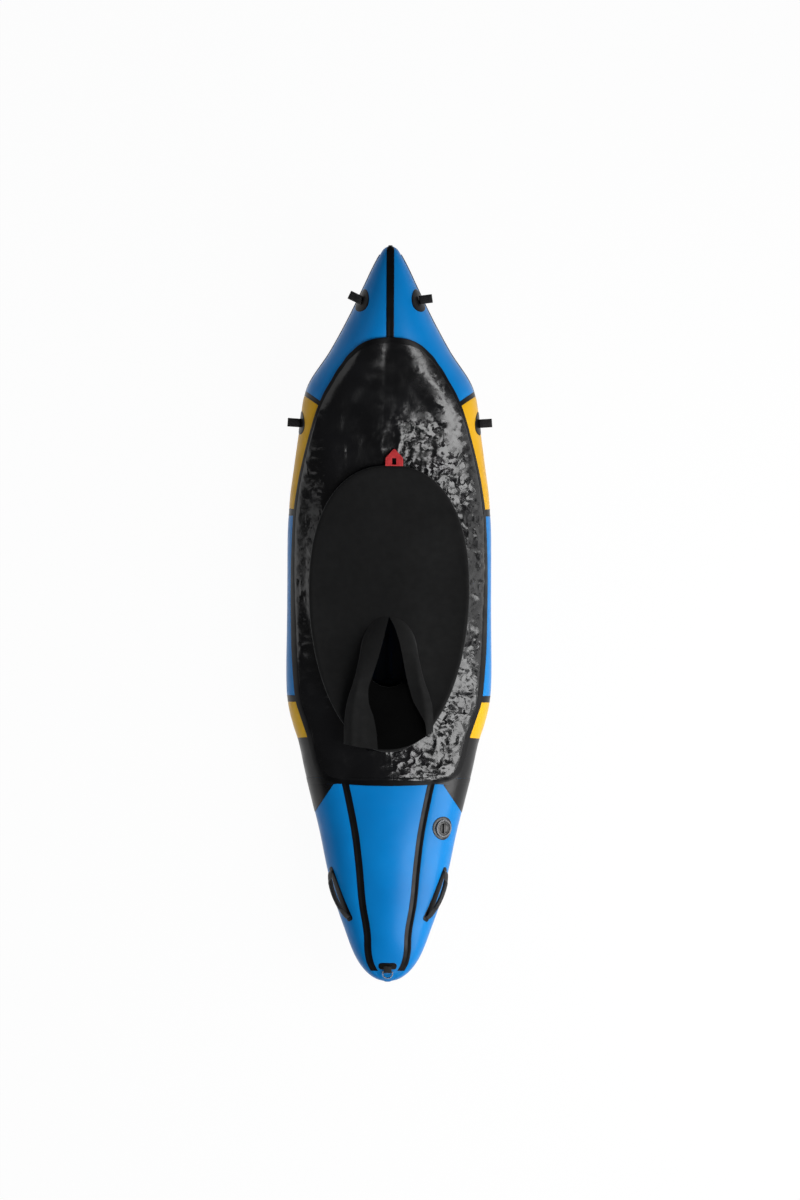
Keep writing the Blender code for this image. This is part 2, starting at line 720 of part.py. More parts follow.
def floor_row(s, lift, edge):
    """From the right edge, which is one of the tube's columns, under the tube and across to the left edge."""
    turn = 2 * math.pi / TUBE_COLUMNS
    right = [side_point(s, -turn * column, lift) for column in range(edge, TUBE_COLUMNS // 4 + 1)]
    middle = Vector((0, right[-1].y, right[-1].z))
    return right + [middle] + [Vector((-p.x, p.y, p.z)) for p in reversed(right)]


def add_floor():
    """The floor's two sheets, welded to the tubes' undersides. The bow's one wraps further up the tubes."""
    first, last = [share * LENGTH for share in FLOOR_ROW_SHARES]
    seam = FLOOR_SEAM_SHARE * LENGTH
    sheets = (
        ("bow_floor", first, seam - FIT_GAP / 2, BOW_FLOOR_EDGE_COLUMN),
        ("floor", seam + FIT_GAP / 2, last, FLOOR_EDGE_COLUMN),
    )
    for name, start, end, edge in sheets:
        places = [start] + [s for s in ROWS if start + PROBE < s < end - PROBE] + [end]
        outer = [floor_row(s, FLOOR_LIFT + FLOOR_THICKNESS, edge) for s in places]
        inner = [floor_row(s, FLOOR_LIFT, edge) for s in places]
        add_slab(name, "black_coated", outer, inner)


def ring_angle(step):
    return 2 * math.pi * step / RING_STEPS


def deck_edge(turn):
    """A point on the deck's edge in plan, a quarter turn being its front."""
    front = DECK_EDGE_SHARES[0][0] * LENGTH
    rear = DECK_EDGE_SHARES[-1][0] * LENGTH
    s = (front + rear) / 2 - (rear - front) / 2 * math.sin(turn)
    x = BEAM / 2 * deck_edge_share(s / LENGTH)
    return Vector((math.copysign(x, math.cos(turn)), along(s), 0))


def egg(turn, inset=0.0):
    """The skirt's outline in plan, drawn in by inset."""
    length = SKIRT_FRONT - SKIRT_WIDEST if math.sin(turn) > 0 else SKIRT_WIDEST - SKIRT_REAR
    power = 2 / COAMING_POWER if math.sin(turn) > 0 else 1.0
    x = (SKIRT_HALF_WIDTH - inset) * math.copysign(abs(math.cos(turn)) ** power, math.cos(turn))
    y = (length - inset) * math.copysign(abs(math.sin(turn)) ** power, math.sin(turn))
    return Vector((x, SKIRT_WIDEST + y, 0))


def coaming_centre(turn):
    """The coaming rod's middle line."""
    inset = SKIRT_THICKNESS + FIT_GAP + SLEEVE_RADIUS + HEM_CORD_RADIUS
    point = egg(turn, inset)
    point.z = COAMING_HEIGHT + COAMING_FRONT_RISE * max(0.0, math.sin(turn)) ** 2
    return point


def loop_outward(turn):
    """The level direction out of the coaming's loop."""
    step = 2 * math.pi / RING_STEPS / 4
    ahead = coaming_centre(turn + step) - coaming_centre(turn - step)
    return Vector((ahead.y, -ahead.x, 0)).normalized()


def swept_ring(section_points):
    """Sections of (outward, up) pairs set round the coaming's loop."""
    sections = []
    for step in range(RING_STEPS):
        turn = ring_angle(step)
        centre = coaming_centre(turn)
        out = loop_outward(turn)
        sections.append([centre + out * u + Vector((0, 0, v)) for u, v in section_points])
    return sections


def arc(radius, start, end, steps):
    angles = [start + (end - start) * step / steps for step in range(steps + 1)]
    return [(radius * math.cos(angle), radius * math.sin(angle)) for angle in angles]


def add_coaming():
    sides = 6
    rod = arc(COAMING_ROD_RADIUS, 0, 2 * math.pi * (sides - 1) / sides, sides - 1)
    add_skin("coaming_rod", "black_plastic", swept_ring(rod), ring=True)
    slot = math.radians(35)
    start = -RIGHT_ANGLE + slot
    end = 3 * RIGHT_ANGLE - slot
    outside = arc(SLEEVE_RADIUS, start, end, 6)
    inside = arc(SLEEVE_RADIUS - SLEEVE_THICKNESS, end, start, 6)
    add_skin("coaming_sleeve", "black_coated", swept_ring(outside + inside), ring=True)


def deck_grid():
    """The deck's underside: one row for each step round the cockpit, from the edge in to the coaming."""
    grid = []
    for step in range(RING_STEPS):
        turn = ring_angle(step)
        edge = deck_edge(turn)
        rim = coaming_centre(turn)
        rim.z -= COAMING_ROD_RADIUS * math.cos(math.radians(30)) + CURVE_GAP
        neck = rim + loop_outward(turn) * COAMING_FLARE
        neck.z -= COAMING_NECK
        edge.z = hull_top(edge.x, edge.y) + DECK_LIFT
        span = Vector((neck.x - edge.x, neck.y - edge.y, 0)).length
        shares = [0.0, DECK_STRIP_WIDTH / span] + list(DECK_RING_SHARES)
        row = []
        for share in shares:
            point = edge.lerp(neck, share)
            point.z -= DECK_SAG_SHARE * span * 4 * share * (1 - share) * max(0.0, math.sin(turn))
            top = hull_top(point.x, point.y)
            if top is not None:
                point.z = max(point.z, top + DECK_LIFT)
            row.append(point)
        grid.append(row + [rim])
    for _ in range(DRAPE_PASSES):
        drape(grid)
    return grid


def drape(grid):
    """Raises the deck wherever a facet between its points would cut into the tubes."""
    for i in range(RING_STEPS):
        near = grid[i - 1]
        row = grid[i]
        for j in range(len(row) - 3):
            corners = (near[j], near[j + 1], row[j], row[j + 1])
            pairs = ((0, 1), (2, 3), (0, 2), (1, 3), (0, 3), (1, 2))
            for a, b in pairs:
                for share in (0.25, 0.5, 0.75):
                    middle = corners[a].lerp(corners[b], share)
                    top = hull_top(middle.x, middle.y)
                    if top is not None and middle.z < top + DECK_LIFT:
                        short = top + DECK_LIFT - middle.z
                        corners[a].z += short
                        corners[b].z += short


def add_deck():
    below = deck_grid()
    above = offset_grid(below, DECK_THICKNESS, ring=True)
    add_slab("spray_deck", "black_coated", above, below, ring=True)
    strip_below = offset_grid(below, DECK_THICKNESS + FIT_GAP, ring=True)
    strip_above = offset_grid(below, DECK_THICKNESS + FIT_GAP + TAPE_THICKNESS, ring=True)
    add_slab(
        "deck_edge_strip",
        "black_tape",
        [row[:2] for row in strip_above],
        [row[:2] for row in strip_below],
        ring=True,
    )


def waist_hole(turn):
    x = WAIST_HOLE_HALF_WIDTH * math.cos(turn)
    y = WAIST_HOLE_CENTRE + WAIST_HOLE_HALF_LENGTH * math.sin(turn)
    z = COAMING_HEIGHT + SLEEVE_RADIUS + WAIST_HOLE_RISE
    return Vector((x, y, z))


def skirt_grid():
    """The skirt's underside, from the hem up over the coaming and in to the waist hole."""
    grid = []
    for step in range(RING_STEPS):
        turn = ring_angle(step)
        level = coaming_centre(turn).z
        hem = egg(turn, SKIRT_THICKNESS)
        hem.z = level - SKIRT_SKIRTING
        bend = egg(turn, SKIRT_THICKNESS)
        bend.z = level + SLEEVE_RADIUS - SKIRT_SHOULDER / 2
        shoulder = egg(turn, SKIRT_SHOULDER)
        shoulder.z = level + SLEEVE_RADIUS + CURVE_GAP
        hole = waist_hole(turn)
        row = [hem, bend, shoulder]
        for share in (0.3, 0.65, 1.0):
            point = shoulder.lerp(hole, share)
            point.z -= SKIRT_SAG * 4 * share * (1 - share)
            row.append(point)
        grid.append(row)
    return grid


def add_skirt():
    below = skirt_grid()
    above = offset_grid(below, SKIRT_THICKNESS, ring=True)
    add_slab("spray_skirt", "skirt_black", above, below, ring=True)
    sides = 5
    circle = arc(HEM_CORD_RADIUS, 0, 2 * math.pi * (sides - 1) / sides, sides - 1)
    sections = []
    for step in range(RING_STEPS):
        turn = ring_angle(step)
        out = loop_outward(turn)
        centre = egg(turn, SKIRT_THICKNESS)
        centre.z = coaming_centre(turn).z - SKIRT_SKIRTING - HEM_CORD_RADIUS - FIT_GAP
        sections.append([centre + out * u + Vector((0, 0, v)) for u, v in circle])
    add_skin("skirt_hem_cord", "black_webbing", sections, ring=True)


def level_frame(origin, forward, normal):
    """A frame at a point on the hull: forward laid into the surface, then across, then out of it."""
    out = normal.normalized()
    ahead = (forward - out * forward.dot(out)).normalized()
    return origin, (ahead, out.cross(ahead), out)


def placed(frame, u, v, w):
    origin, axes = frame
    return origin + axes[0] * u + axes[1] * v + axes[2] * w


def add_revolved(name, finish, profile, frame, steps, ring=True):
    """A profile of (radius, height) pairs turned about the frame's last axis."""
    sections = []
    for radius, height in profile:
        circle = [2 * math.pi * step / steps for step in range(steps)]
        sections.append([placed(frame, radius * math.cos(a), radius * math.sin(a), height) for a in circle])
    return add_skin(name, finish, sections, ring=ring)


def add_box(name, finish, low, high, frame):
    sections = []
    for w in (low[2], high[2]):
        corners = ((low[0], low[1]), (high[0], low[1]), (high[0], high[1]), (low[0], high[1]))
        sections.append([placed(frame, u, v, w) for u, v in corners])
    return add_skin(name, finish, sections, smooth=False)


def add_eyelet(name, finish, outside, inside, width, frame):
    """A plate with a hole: matching outlines in the frame's first and last axes, wide along its second."""
    half = width / 2
    sections = []
    for outline, v in ((outside, -half), (outside, half), (inside, half), (inside, -half)):
        sections.append([placed(frame, u, v, w) for u, w in outline])
    return add_skin(name, finish, sections, ring=True)


def combine(obj, other, operation):
    """Cuts, keeps or joins obj with other, which is used up."""
    modifier = obj.modifiers.new("combine", "BOOLEAN")
    modifier.operation = operation
    modifier.solver = "EXACT"
    modifier.object = other
    graph = bpy.context.evaluated_depsgraph_get()
    mesh = bpy.data.meshes.new_from_object(obj.evaluated_get(graph))
    obj.modifiers.clear()
    obj.data = mesh
    bpy.data.objects.remove(other, do_unlink=True)


def add_overlay(name, finish, rows, columns, lift, thickness, side, keep):
    """Fabric laid over the tube, with the tube's own rows and columns, trimmed to the body keep."""
    outer = [[side_point(s, angle, lift + thickness) for angle in columns] for s in rows]
    inner = [[side_point(s, angle, lift) for angle in columns] for s in rows]
    obj = add_slab(name, finish, on_side(outer, side), on_side(inner, side))
    combine(obj, keep, "INTERSECT")
    return obj


def rows_around(start, end):
    """The hull's rows from the last before start to the first after end."""
    before = [s for s in ROWS if s <= start][-1:]
    inside = [s for s in ROWS if start < s < end]
    after = [s for s in ROWS if s >= end][:1]
    return before + inside + after


def columns_between(low, high):
    turn = 2 * math.pi / TUBE_COLUMNS
    first = math.floor(low / turn)
    last = math.ceil(high / turn)
    return [turn * step for step in range(last, first - 1, -1)]


def surface_frame(s, angle, side, forward_turn=0.0):
    """A frame on the tube, its first axis level and outboard, turned forward by forward_turn."""
    normal = side_normal(s, angle)
    origin = side_point(s, angle)
    level = Vector((normal.x, normal.y, 0)).normalized()
    level = Matrix.Rotation(forward_turn, 3, "Z") @ level
    if side < 0:
        normal.x = -normal.x
        origin.x = -origin.x
        level.x = -level.x
    return origin, normal, level


def stadium(length, radius, steps=6):
    near = [(-radius * math.sin(a), radius * math.cos(a)) for a in half_turns(steps)]
    far = [(length + radius * math.sin(a), -radius * math.cos(a)) for a in half_turns(steps)]
    return near + far


def half_turns(steps):
    return [math.pi * step / steps for step in range(steps + 1)]


def add_tie_point(word, share, angle, side, forward_turn, sink):
    """A round patch welded on the tube and the webbing loop that flops on it."""
    s = share * LENGTH
    origin, normal, level = surface_frame(s, angle, side, forward_turn)
    disc = level_frame(origin, Vector((0, 1, 0)), normal)
    reach = TIE_PATCH_RADIUS
    profile = [(reach, -reach), (reach, reach)]
    keep = add_revolved("keep", "red", profile, disc, 20, ring=False)
    rows = rows_around(s - 1.4 * reach, s + 1.4 * reach)
    turn = 1.1 * reach / TUBE_RADIUS
    columns = columns_between(angle - turn, angle + turn)
    add_overlay("tie_patch_" + word, "black_tape", rows, columns, CURVE_GAP, PATCH_THICKNESS, side, keep)
    lift = CURVE_GAP + PATCH_THICKNESS + LOOP_CLEARANCE + LOOP_RADIUS - sink
    pivot = origin + normal * lift
    loop = (pivot, (level, Vector((0, 0, 1)).cross(level), Vector((0, 0, 1))))
    reach = TIE_LOOP_LENGTH - 2 * LOOP_RADIUS
    outside = stadium(reach, LOOP_RADIUS)
    inside = stadium(reach, LOOP_RADIUS - LOOP_WALL)
    obj = add_eyelet("tie_loop_" + word, "black_webbing", outside, inside, TIE_LOOP_WIDTH, loop)
    set_origin(obj, pivot)


def set_origin(obj, point):
    obj.data.transform(Matrix.Translation(-point))
    obj.location = point


def add_tie_points():
    for side, word in ((-1, "left"), (1, "right")):
        turn = BOW_LOOP_TURN_SHARES[0 if side < 0 else 1] * RIGHT_ANGLE
        add_tie_point("bow_" + word, BOW_TIE_SHARE, BOW_TIE_TURN_SHARE * RIGHT_ANGLE, side, turn, -FIT_GAP)
        angle = SIDE_TIE_TURN_SHARE * RIGHT_ANGLE
        add_tie_point("side_" + word, SIDE_TIE_SHARE, angle, side, 0.0, SIDE_LOOP_SINK)


def add_handle(word, side):
    """A strip welded along the stern and the carry handle that stands off it."""
    front = HANDLE_SHARES[0] * LENGTH
    rear = HANDLE_SHARES[1] * LENGTH
    front_turn = HANDLE_TURN_SHARES[0] * RIGHT_ANGLE
    rear_turn = HANDLE_TURN_SHARES[1] * RIGHT_ANGLE
    start, start_normal, _ = surface_frame(front, front_turn, side)
    end, end_normal, _ = surface_frame(rear, rear_turn, side)
    run = end - start
    normal = (start_normal + end_normal).normalized()
    strip = level_frame((start + end) / 2, run, normal)
    half = run.length / 2 + HANDLE_BASE_WIDTH / 2
    wide = HANDLE_BASE_WIDTH / 2
    deep = 2 * HANDLE_BASE_WIDTH
    keep = add_box("keep", "red", (-half, -wide, -deep), (half, wide, deep), strip)
    rows = rows_around(front - HANDLE_BASE_WIDTH, rear + HANDLE_BASE_WIDTH)
    columns = columns_between(front_turn / 2, rear_turn * 1.3)
    add_overlay("handle_base_" + word, "black_tape", rows, columns, CURVE_GAP, PATCH_THICKNESS, side, keep)
    lift = CURVE_GAP + PATCH_THICKNESS + LOOP_CLEARANCE + HANDLE_END_RADIUS - HANDLE_SINK
    start = start + start_normal * lift
    end = end + end_normal * lift
    run = (end - start).normalized()
    across = normal.cross(run).normalized()
    up = run.cross(across)
    sections = []
    steps = 14
    for step in range(steps + 1):
        share = step / steps
        height = HANDLE_HEIGHT * math.sin(math.pi * share) ** HANDLE_ARCH_POWER
        middle = start.lerp(end, share) + up * height
        before = max(share - 1 / steps, 0.0)
        after = min(share + 1 / steps, 1.0)
        climb = math.sin(math.pi * after) ** HANDLE_ARCH_POWER - math.sin(math.pi * before) ** HANDLE_ARCH_POWER
        ahead = (end - start) * (after - before) + up * HANDLE_HEIGHT * climb
        ahead.normalize()
        thick = HANDLE_END_RADIUS
        thick += (HANDLE_GRIP_RADIUS - HANDLE_END_RADIUS) * min(1.0, 1.35 * math.sin(math.pi * share)) ** 2
        rise = ahead.cross(across)
        sections.append([middle + across * u + rise * v for u, v in arc(thick, 0, 1.75 * math.pi, 7)])
    obj = add_skin("carry_handle_" + word, "black_webbing", sections)
    set_origin(obj, start)


def stern_top_frame(share):
    """A frame on the stern's middle line: aft along the surface, to the left, and out of it."""
    s = share * LENGTH
    aft = top_point(s + PROBE, 0) - top_point(s - PROBE, 0)
    out = Vector((1, 0, 0)).cross(aft) * -1
    return level_frame(top_point(s, 0), aft, out if out.z > 0 else -out)


def add_stern_ring():
    """The patch, the webbing tab and the metal ring at the stern's tip."""
    frame = stern_top_frame(STERN_PATCH_SHARE)
    sections = []
    for deep in (-STERN_PATCH_HALF_WIDTH, STERN_PATCH_HALF_WIDTH):
        section = []
        for step in range(PATCH_STEPS):
            turn = 2 * math.pi * step / PATCH_STEPS
            u = STERN_PATCH_HALF_LENGTH * math.cos(turn)
            section.append(placed(frame, u, STERN_PATCH_HALF_WIDTH * math.sin(turn), deep))
        sections.append(section)
    keep = add_skin("keep", "red", sections)
    s = STERN_PATCH_SHARE * LENGTH
    rows = rows_around(s - STERN_PATCH_HALF_LENGTH, s + STERN_PATCH_HALF_LENGTH)
    shares = [2 * j / 6 - 1 for j in range(7)]
    outer = [[top_point(row, share, CURVE_GAP + PATCH_THICKNESS) for share in shares] for row in rows]
    inner = [[top_point(row, share, CURVE_GAP) for share in shares] for row in rows]
    patch = add_slab("stern_patch", "black_tape", outer, inner)
    combine(patch, keep, "INTERSECT")
    eye = RING_WIRE_RADIUS + RING_CLEARANCE
    wall = eye + STERN_TAB_WALL
    lift = CURVE_GAP + PATCH_THICKNESS + STERN_TAB_LIFT
    base = placed(frame, 0, 0, lift + wall)
    tab = (base, frame[1])
    length = STERN_TAB_LENGTH - wall
    outside = [(0.0, wall / 3), (0.0, wall)]
    outside += [(length + wall * math.sin(a), wall * math.cos(a)) for a in half_turns(8)]
    outside += [(0.0, -wall), (0.0, -wall / 3)]
    hollow = []
    for degrees in [162, 126] + [90 - 22.5 * step for step in range(9)] + [-126, -162]:
        turn = math.radians(degrees)
        hollow.append((length + eye * math.cos(turn), eye * math.sin(turn)))
    add_eyelet("stern_tab", "black_webbing", outside, hollow, STERN_TAB_WIDTH, tab)
    pivot = placed(tab, length, 0, 0)
    half = RING_WIDTH / 2 - RING_WIRE_RADIUS
    path = [(0.0, -half), (0.0, -half / 3), (0.0, half / 3), (0.0, half)]
    depth = RING_DEPTH - 2 * RING_WIRE_RADIUS
    for angle in half_turns(10)[1:-1]:
        path.append((RING_STRAIGHT + (depth - RING_STRAIGHT) * math.sin(angle), half * math.cos(angle)))
    ring = (pivot, frame[1])
    add_wire_loop("stern_ring", "steel", path, RING_WIRE_RADIUS, ring)


def add_wire_loop(name, finish, path, radius, frame):
    """A wire bent round a closed path in the frame's first two axes."""
    sections = []
    count = len(path)
    for step in range(count):
        before = Vector(path[step - 1])
        here = Vector(path[step])
        after = Vector(path[(step + 1) % count])
        one = (here - before).normalized()
        two = (after - here).normalized()
        side = Vector((one.y + two.y, -one.x - two.x)).normalized()
        spread = 1 / max(0.5, side.dot(Vector((one.y, -one.x))))
        section = []
        for u, v in arc(radius, 0, 5 * math.pi / 3, 5):
            section.append(placed(frame, here.x + side.x * u * spread, here.y + side.y * u * spread, v))
        sections.append(section)
    obj = add_skin(name, finish, sections, ring=True)
    set_origin(obj, frame[0])


def add_valve():
    """The inflation valve: flange, body with its seat web, sprung poppet and cap."""
    s = VALVE_SHARE * LENGTH
    angle = VALVE_TURN_SHARE * RIGHT_ANGLE
    frame = level_frame(side_point(s, angle), Vector((0, 1, 0)), side_normal(s, angle))
    deep = VALVE_FLANGE_RADIUS
    hole = VALVE_COLLAR_RADIUS + FIT_GAP
    steps = 24
    panel = bpy.data.objects["stern_side_panel_right"]
    bore = [(hole, -deep), (hole, deep)]
    combine(panel, add_revolved("cut", "red", bore, frame, steps, ring=False), "DIFFERENCE")
    rows = rows_around(s - 1.2 * deep, s + 1.2 * deep)
    turn = 1.2 * deep / TUBE_RADIUS
    columns = columns_between(angle - turn, angle + turn)
    rim = [(deep, -deep), (deep, deep)]
    keep = add_revolved("keep", "red", rim, frame, steps, ring=False)
    thick = VALVE_FLANGE_THICKNESS
    flange = add_overlay("valve_flange", "black_plastic", rows, columns, CURVE_GAP, thick, 1, keep)
    combine(flange, add_revolved("cut", "red", bore, frame, steps, ring=False), "DIFFERENCE")
    floor = VALVE_COLLAR_HEIGHT - VALVE_RECESS_DEPTH
    web = -VALVE_SEAT_DEPTH
    guide = POPPET_STEM_RADIUS + VALVE_CLEARANCE
    profile = [
        (VALVE_COLLAR_RADIUS, -VALVE_COLLAR_HEIGHT),
        (VALVE_COLLAR_RADIUS, VALVE_COLLAR_HEIGHT),
        (VALVE_RECESS_RADIUS, VALVE_COLLAR_HEIGHT),
        (VALVE_RECESS_RADIUS, floor),
        (VALVE_BORE_RADIUS, floor),
        (VALVE_BORE_RADIUS, web),
        (guide, web),
        (guide, web - VALVE_SEAT_THICKNESS),
        (VALVE_NECK_RADIUS, web - VALVE_SEAT_THICKNESS),
        (VALVE_NECK_RADIUS, -VALVE_COLLAR_HEIGHT),
    ]
    body = add_revolved("valve_body", "grey_plastic", profile, frame, steps)
    for step in range(4):
        spin = Matrix.Rotation(step * RIGHT_ANGLE + RIGHT_ANGLE / 2, 3, frame[1][2])
        turned = (frame[0], tuple(spin @ axis for axis in frame[1]))
        half = VALVE_PORT_WIDTH / 2
        low = (VALVE_PORT_START, -half, web - 2 * VALVE_SEAT_THICKNESS)
        high = (VALVE_PORT_END, half, web + VALVE_SEAT_THICKNESS)
        combine(body, add_box("cut", "red", low, high, turned), "DIFFERENCE")
    top = web - VALVE_SEAT_THICKNESS - VALVE_CLEARANCE
    button = -POPPET_BUTTON_DEPTH
    poppet = [
        (POPPET_DISC_RADIUS, top - POPPET_DISC_THICKNESS),
        (POPPET_DISC_RADIUS, top),
        (POPPET_STEM_RADIUS, top),
        (POPPET_STEM_RADIUS, button - POPPET_BUTTON_THICKNESS),
        (POPPET_BUTTON_RADIUS, button - POPPET_BUTTON_THICKNESS),
        (POPPET_BUTTON_RADIUS, button),
    ]
    obj = add_revolved("valve_poppet", "black_plastic", poppet, frame, 16, ring=False)
    set_origin(obj, frame[0])
    add_spring(frame, web + VALVE_CLEARANCE, button - POPPET_BUTTON_THICKNESS - VALVE_CLEARANCE)
    add_cap(frame, floor)


def add_spring(frame, low, high):
    """The helical spring under the poppet's button."""
    turns = SPRING_TURNS
    steps = 10 * turns
    rise = high - low - 2 * SPRING_WIRE_RADIUS
    sections = []
    for step in range(steps + 1):
        share = step / steps
        angle = 2 * math.pi * turns * share
        section = []
        for u, w in arc(SPRING_WIRE_RADIUS, 0, 1.6 * math.pi, 4):
            radius = SPRING_RADIUS + u
            height = low + SPRING_WIRE_RADIUS + rise * share + w
            section.append(placed(frame, radius * math.cos(angle), radius * math.sin(angle), height))
        sections.append(section)
    add_skin("valve_spring", "steel", sections)


def add_cap(frame, floor):
    radius = VALVE_RECESS_RADIUS - VALVE_CLEARANCE
    plug = VALVE_BORE_RADIUS - VALVE_CLEARANCE
    low = floor + VALVE_CLEARANCE
    high = low + CAP_THICKNESS
    profile = [
        (plug - CAP_PLUG_WALL, low),
        (plug - CAP_PLUG_WALL, low - CAP_PLUG_DEPTH),
        (plug, low - CAP_PLUG_DEPTH),
        (plug, low),
        (radius, low),
        (radius, high),
    ]
    cap = add_revolved("valve_cap", "black_plastic", profile, frame, 24, ring=False)
    half = CAP_GRIP_LENGTH / 2
    wide = CAP_GRIP_WIDTH / 2
    grip = add_box(
        "grip", "red", (-half, -wide, high - CAP_THICKNESS / 2), (half, wide, high + CAP_GRIP_HEIGHT), frame
    )
    combine(cap, grip, "UNION")
    set_origin(cap, frame[0])


def cushion_sections(half_width, half_depth, height, edge, frame):
    """Rounded outlines stacked up the frame's last axis, drawn in at the top and the bottom."""
    sections = []
    levels = []
    for angle in (0.0, 30.0, 60.0, 90.0):
        turn = math.radians(angle)
        levels.append((edge * (1 - math.sin(turn)), edge * (1 - math.cos(turn))))
    rows = levels + [(inset, height - low) for inset, low in reversed(levels)]
    for inset, level in rows:
        section = []
        for start, u, v in ((0, 1, 1), (1, -1, 1), (2, -1, -1), (3, 1, -1)):
            for step in range(5):
                turn = (start + step / 4) * RIGHT_ANGLE
                x = u * (half_width - CUSHION_CORNER) + (CUSHION_CORNER - inset) * math.cos(turn)
                y = v * (half_depth - CUSHION_CORNER) + (CUSHION_CORNER - inset) * math.sin(turn)
                section.append(placed(frame, x, y, level))
        sections.append(section)
    return sections


def upright(point):
    return Vector(point), (Vector((1, 0, 0)), Vector((0, 1, 0)), Vector((0, 0, 1)))


def add_seat():
    middle = (SEAT_FRONT + SEAT_REAR) / 2
    depth = (SEAT_FRONT - SEAT_REAR) / 2
    base = FLOOR_THICKNESS + FIT_GAP
    frame = upright((0, middle, base))
    add_skin(
        "seat", "seat_grey", cushion_sections(SEAT_HALF_WIDTH, depth, SEAT_HEIGHT, CUSHION_EDGE, frame)
    )
    axes = (Vector((1, 0, 0)), Vector((0, 0, 1)), Vector((0, -1, 0)))
    face = SEAT_REAR - BACKREST_GAP
    bottom = base + BACKREST_GAP
    centre = Vector((0, face, (bottom + BACKREST_TOP) / 2))
    half = (BACKREST_TOP - bottom) / 2
    sections = cushion_sections(BACKREST_HALF_WIDTH, half, BACKREST_THICKNESS, CUSHION_EDGE * 0.9, (centre, axes))
    back = add_skin("backrest", "seat_grey", sections)
    pivot = Vector((0, face, base + SEAT_HEIGHT))
    set_origin(back, pivot)


def add_back_strap():
    """The strap behind the backrest and its tabs on the tubes' inner walls."""
    s = LENGTH / 2 - (SEAT_REAR - BACKREST_GAP - BACKREST_THICKNESS - BACK_STRAP_SETBACK)
    height = BACK_STRAP_HEIGHT - axis_height(s)
    angle = math.pi - math.asin(height / tube_half_height(s))
    half = BACK_STRAP_END / 2
    for side, word in ((-1, "left"), (1, "right")):
        point = side_point(s + half, angle)
        normal = side_normal(s + half, angle)
        if side < 0:
            point.x = -point.x
            normal.x = -normal.x
        disc = level_frame(point, Vector((0, 1, 0)), normal)
        profile = [(STRAP_TAB_RADIUS, -STRAP_TAB_RADIUS), (STRAP_TAB_RADIUS, STRAP_TAB_RADIUS)]
        keep = add_revolved("keep", "red", profile, disc, 16, ring=False)
        rows = rows_around(s + half - 1.2 * STRAP_TAB_RADIUS, s + half + 1.2 * STRAP_TAB_RADIUS)
        turn = 1.2 * STRAP_TAB_RADIUS / TUBE_RADIUS
        columns = columns_between(angle - turn, angle + turn)
        add_overlay("strap_tab_" + word, "black_tape", rows, columns, CURVE_GAP, PATCH_THICKNESS, side, keep)
    lift = 2 * CURVE_GAP + PATCH_THICKNESS + BACK_STRAP_LIFT
    right = []
    spread = BACK_STRAP_WIDTH / 2 / TUBE_RADIUS
    for place in (s + BACK_STRAP_END, s + half, s + BACK_STRAP_SETBACK):
        low = angle + spread
        high = angle - spread
        section = [
            side_point(place, low, lift),
            side_point(place, high, lift),
            side_point(place, high, lift + BACK_STRAP_THICKNESS),
            side_point(place, low, lift + BACK_STRAP_THICKNESS),
        ]
        right.append(section)
    left = [[Vector((-p.x, p.y, p.z)) for p in section] for section in reversed(right)]
    wide = BACK_STRAP_WIDTH / 2
    reach = right[-1][3].x - BACK_STRAP_SETBACK
    middle = []
    for share in (1.0, 0.5, -0.5, -1.0):
        x = share * reach
        rear = along(s)
        front = rear + BACK_STRAP_THICKNESS
        middle.append([
            Vector((x, front, BACK_STRAP_HEIGHT - wide)),
            Vector((x, front, BACK_STRAP_HEIGHT + wide)),
            Vector((x, rear, BACK_STRAP_HEIGHT + wide)),
            Vector((x, rear, BACK_STRAP_HEIGHT - wide)),
        ])
    add_skin("backrest_strap", "black_webbing", right + middle + left, smooth=False)


def tunnel_grid():
    """The waist tunnel's outside: rows from the hem on the skirt's hole back to the flattened mouth."""
    base = COAMING_HEIGHT + SLEEVE_RADIUS + WAIST_HOLE_RISE + SKIRT_THICKNESS + CURVE_GAP
    rim = COAMING_HEIGHT + SLEEVE_RADIUS + SKIRT_THICKNESS + 2 * CURVE_GAP
    rear = WAIST_HOLE_CENTRE - WAIST_HOLE_HALF_LENGTH
    grid = []
    for place, tilt, wide, deep, shift in TUNNEL_SHARES:
        y = rear + (TUNNEL_REAR - rear) * place
        low = base + (rim - base) * place + TUNNEL_BASE_LIFT * min(1.0, shift)
        turn = tilt * RIGHT_ANGLE
        half = TUNNEL_HALF_WIDTH * wide
        reach = WAIST_HOLE_HALF_LENGTH * deep
        row = []
        for step in range(TUNNEL_STEPS + 1):
            angle = 2 * math.pi * step / TUNNEL_STEPS
            cosine = math.cos(angle)
            sine = math.sin(angle)
            u = math.copysign(abs(cosine) ** (1 - 0.25 * tilt), cosine)
            x = half * u
            climb = reach * (1 + sine)
            z = low + climb * math.sin(turn)
            if sine > 0:
                bump = math.exp(-((abs(u) - 0.62) / 0.2) ** 2) - 0.6 * math.exp(-(u / 0.3) ** 2)
                z += TUNNEL_RIDGE * 0.35 * place * bump * sine
            sweep = TUNNEL_SWEEP * place * u * u
            row.append(Vector((x, y + climb * math.cos(turn) + sweep, z)))
        grid.append(row[:-1])
    return grid


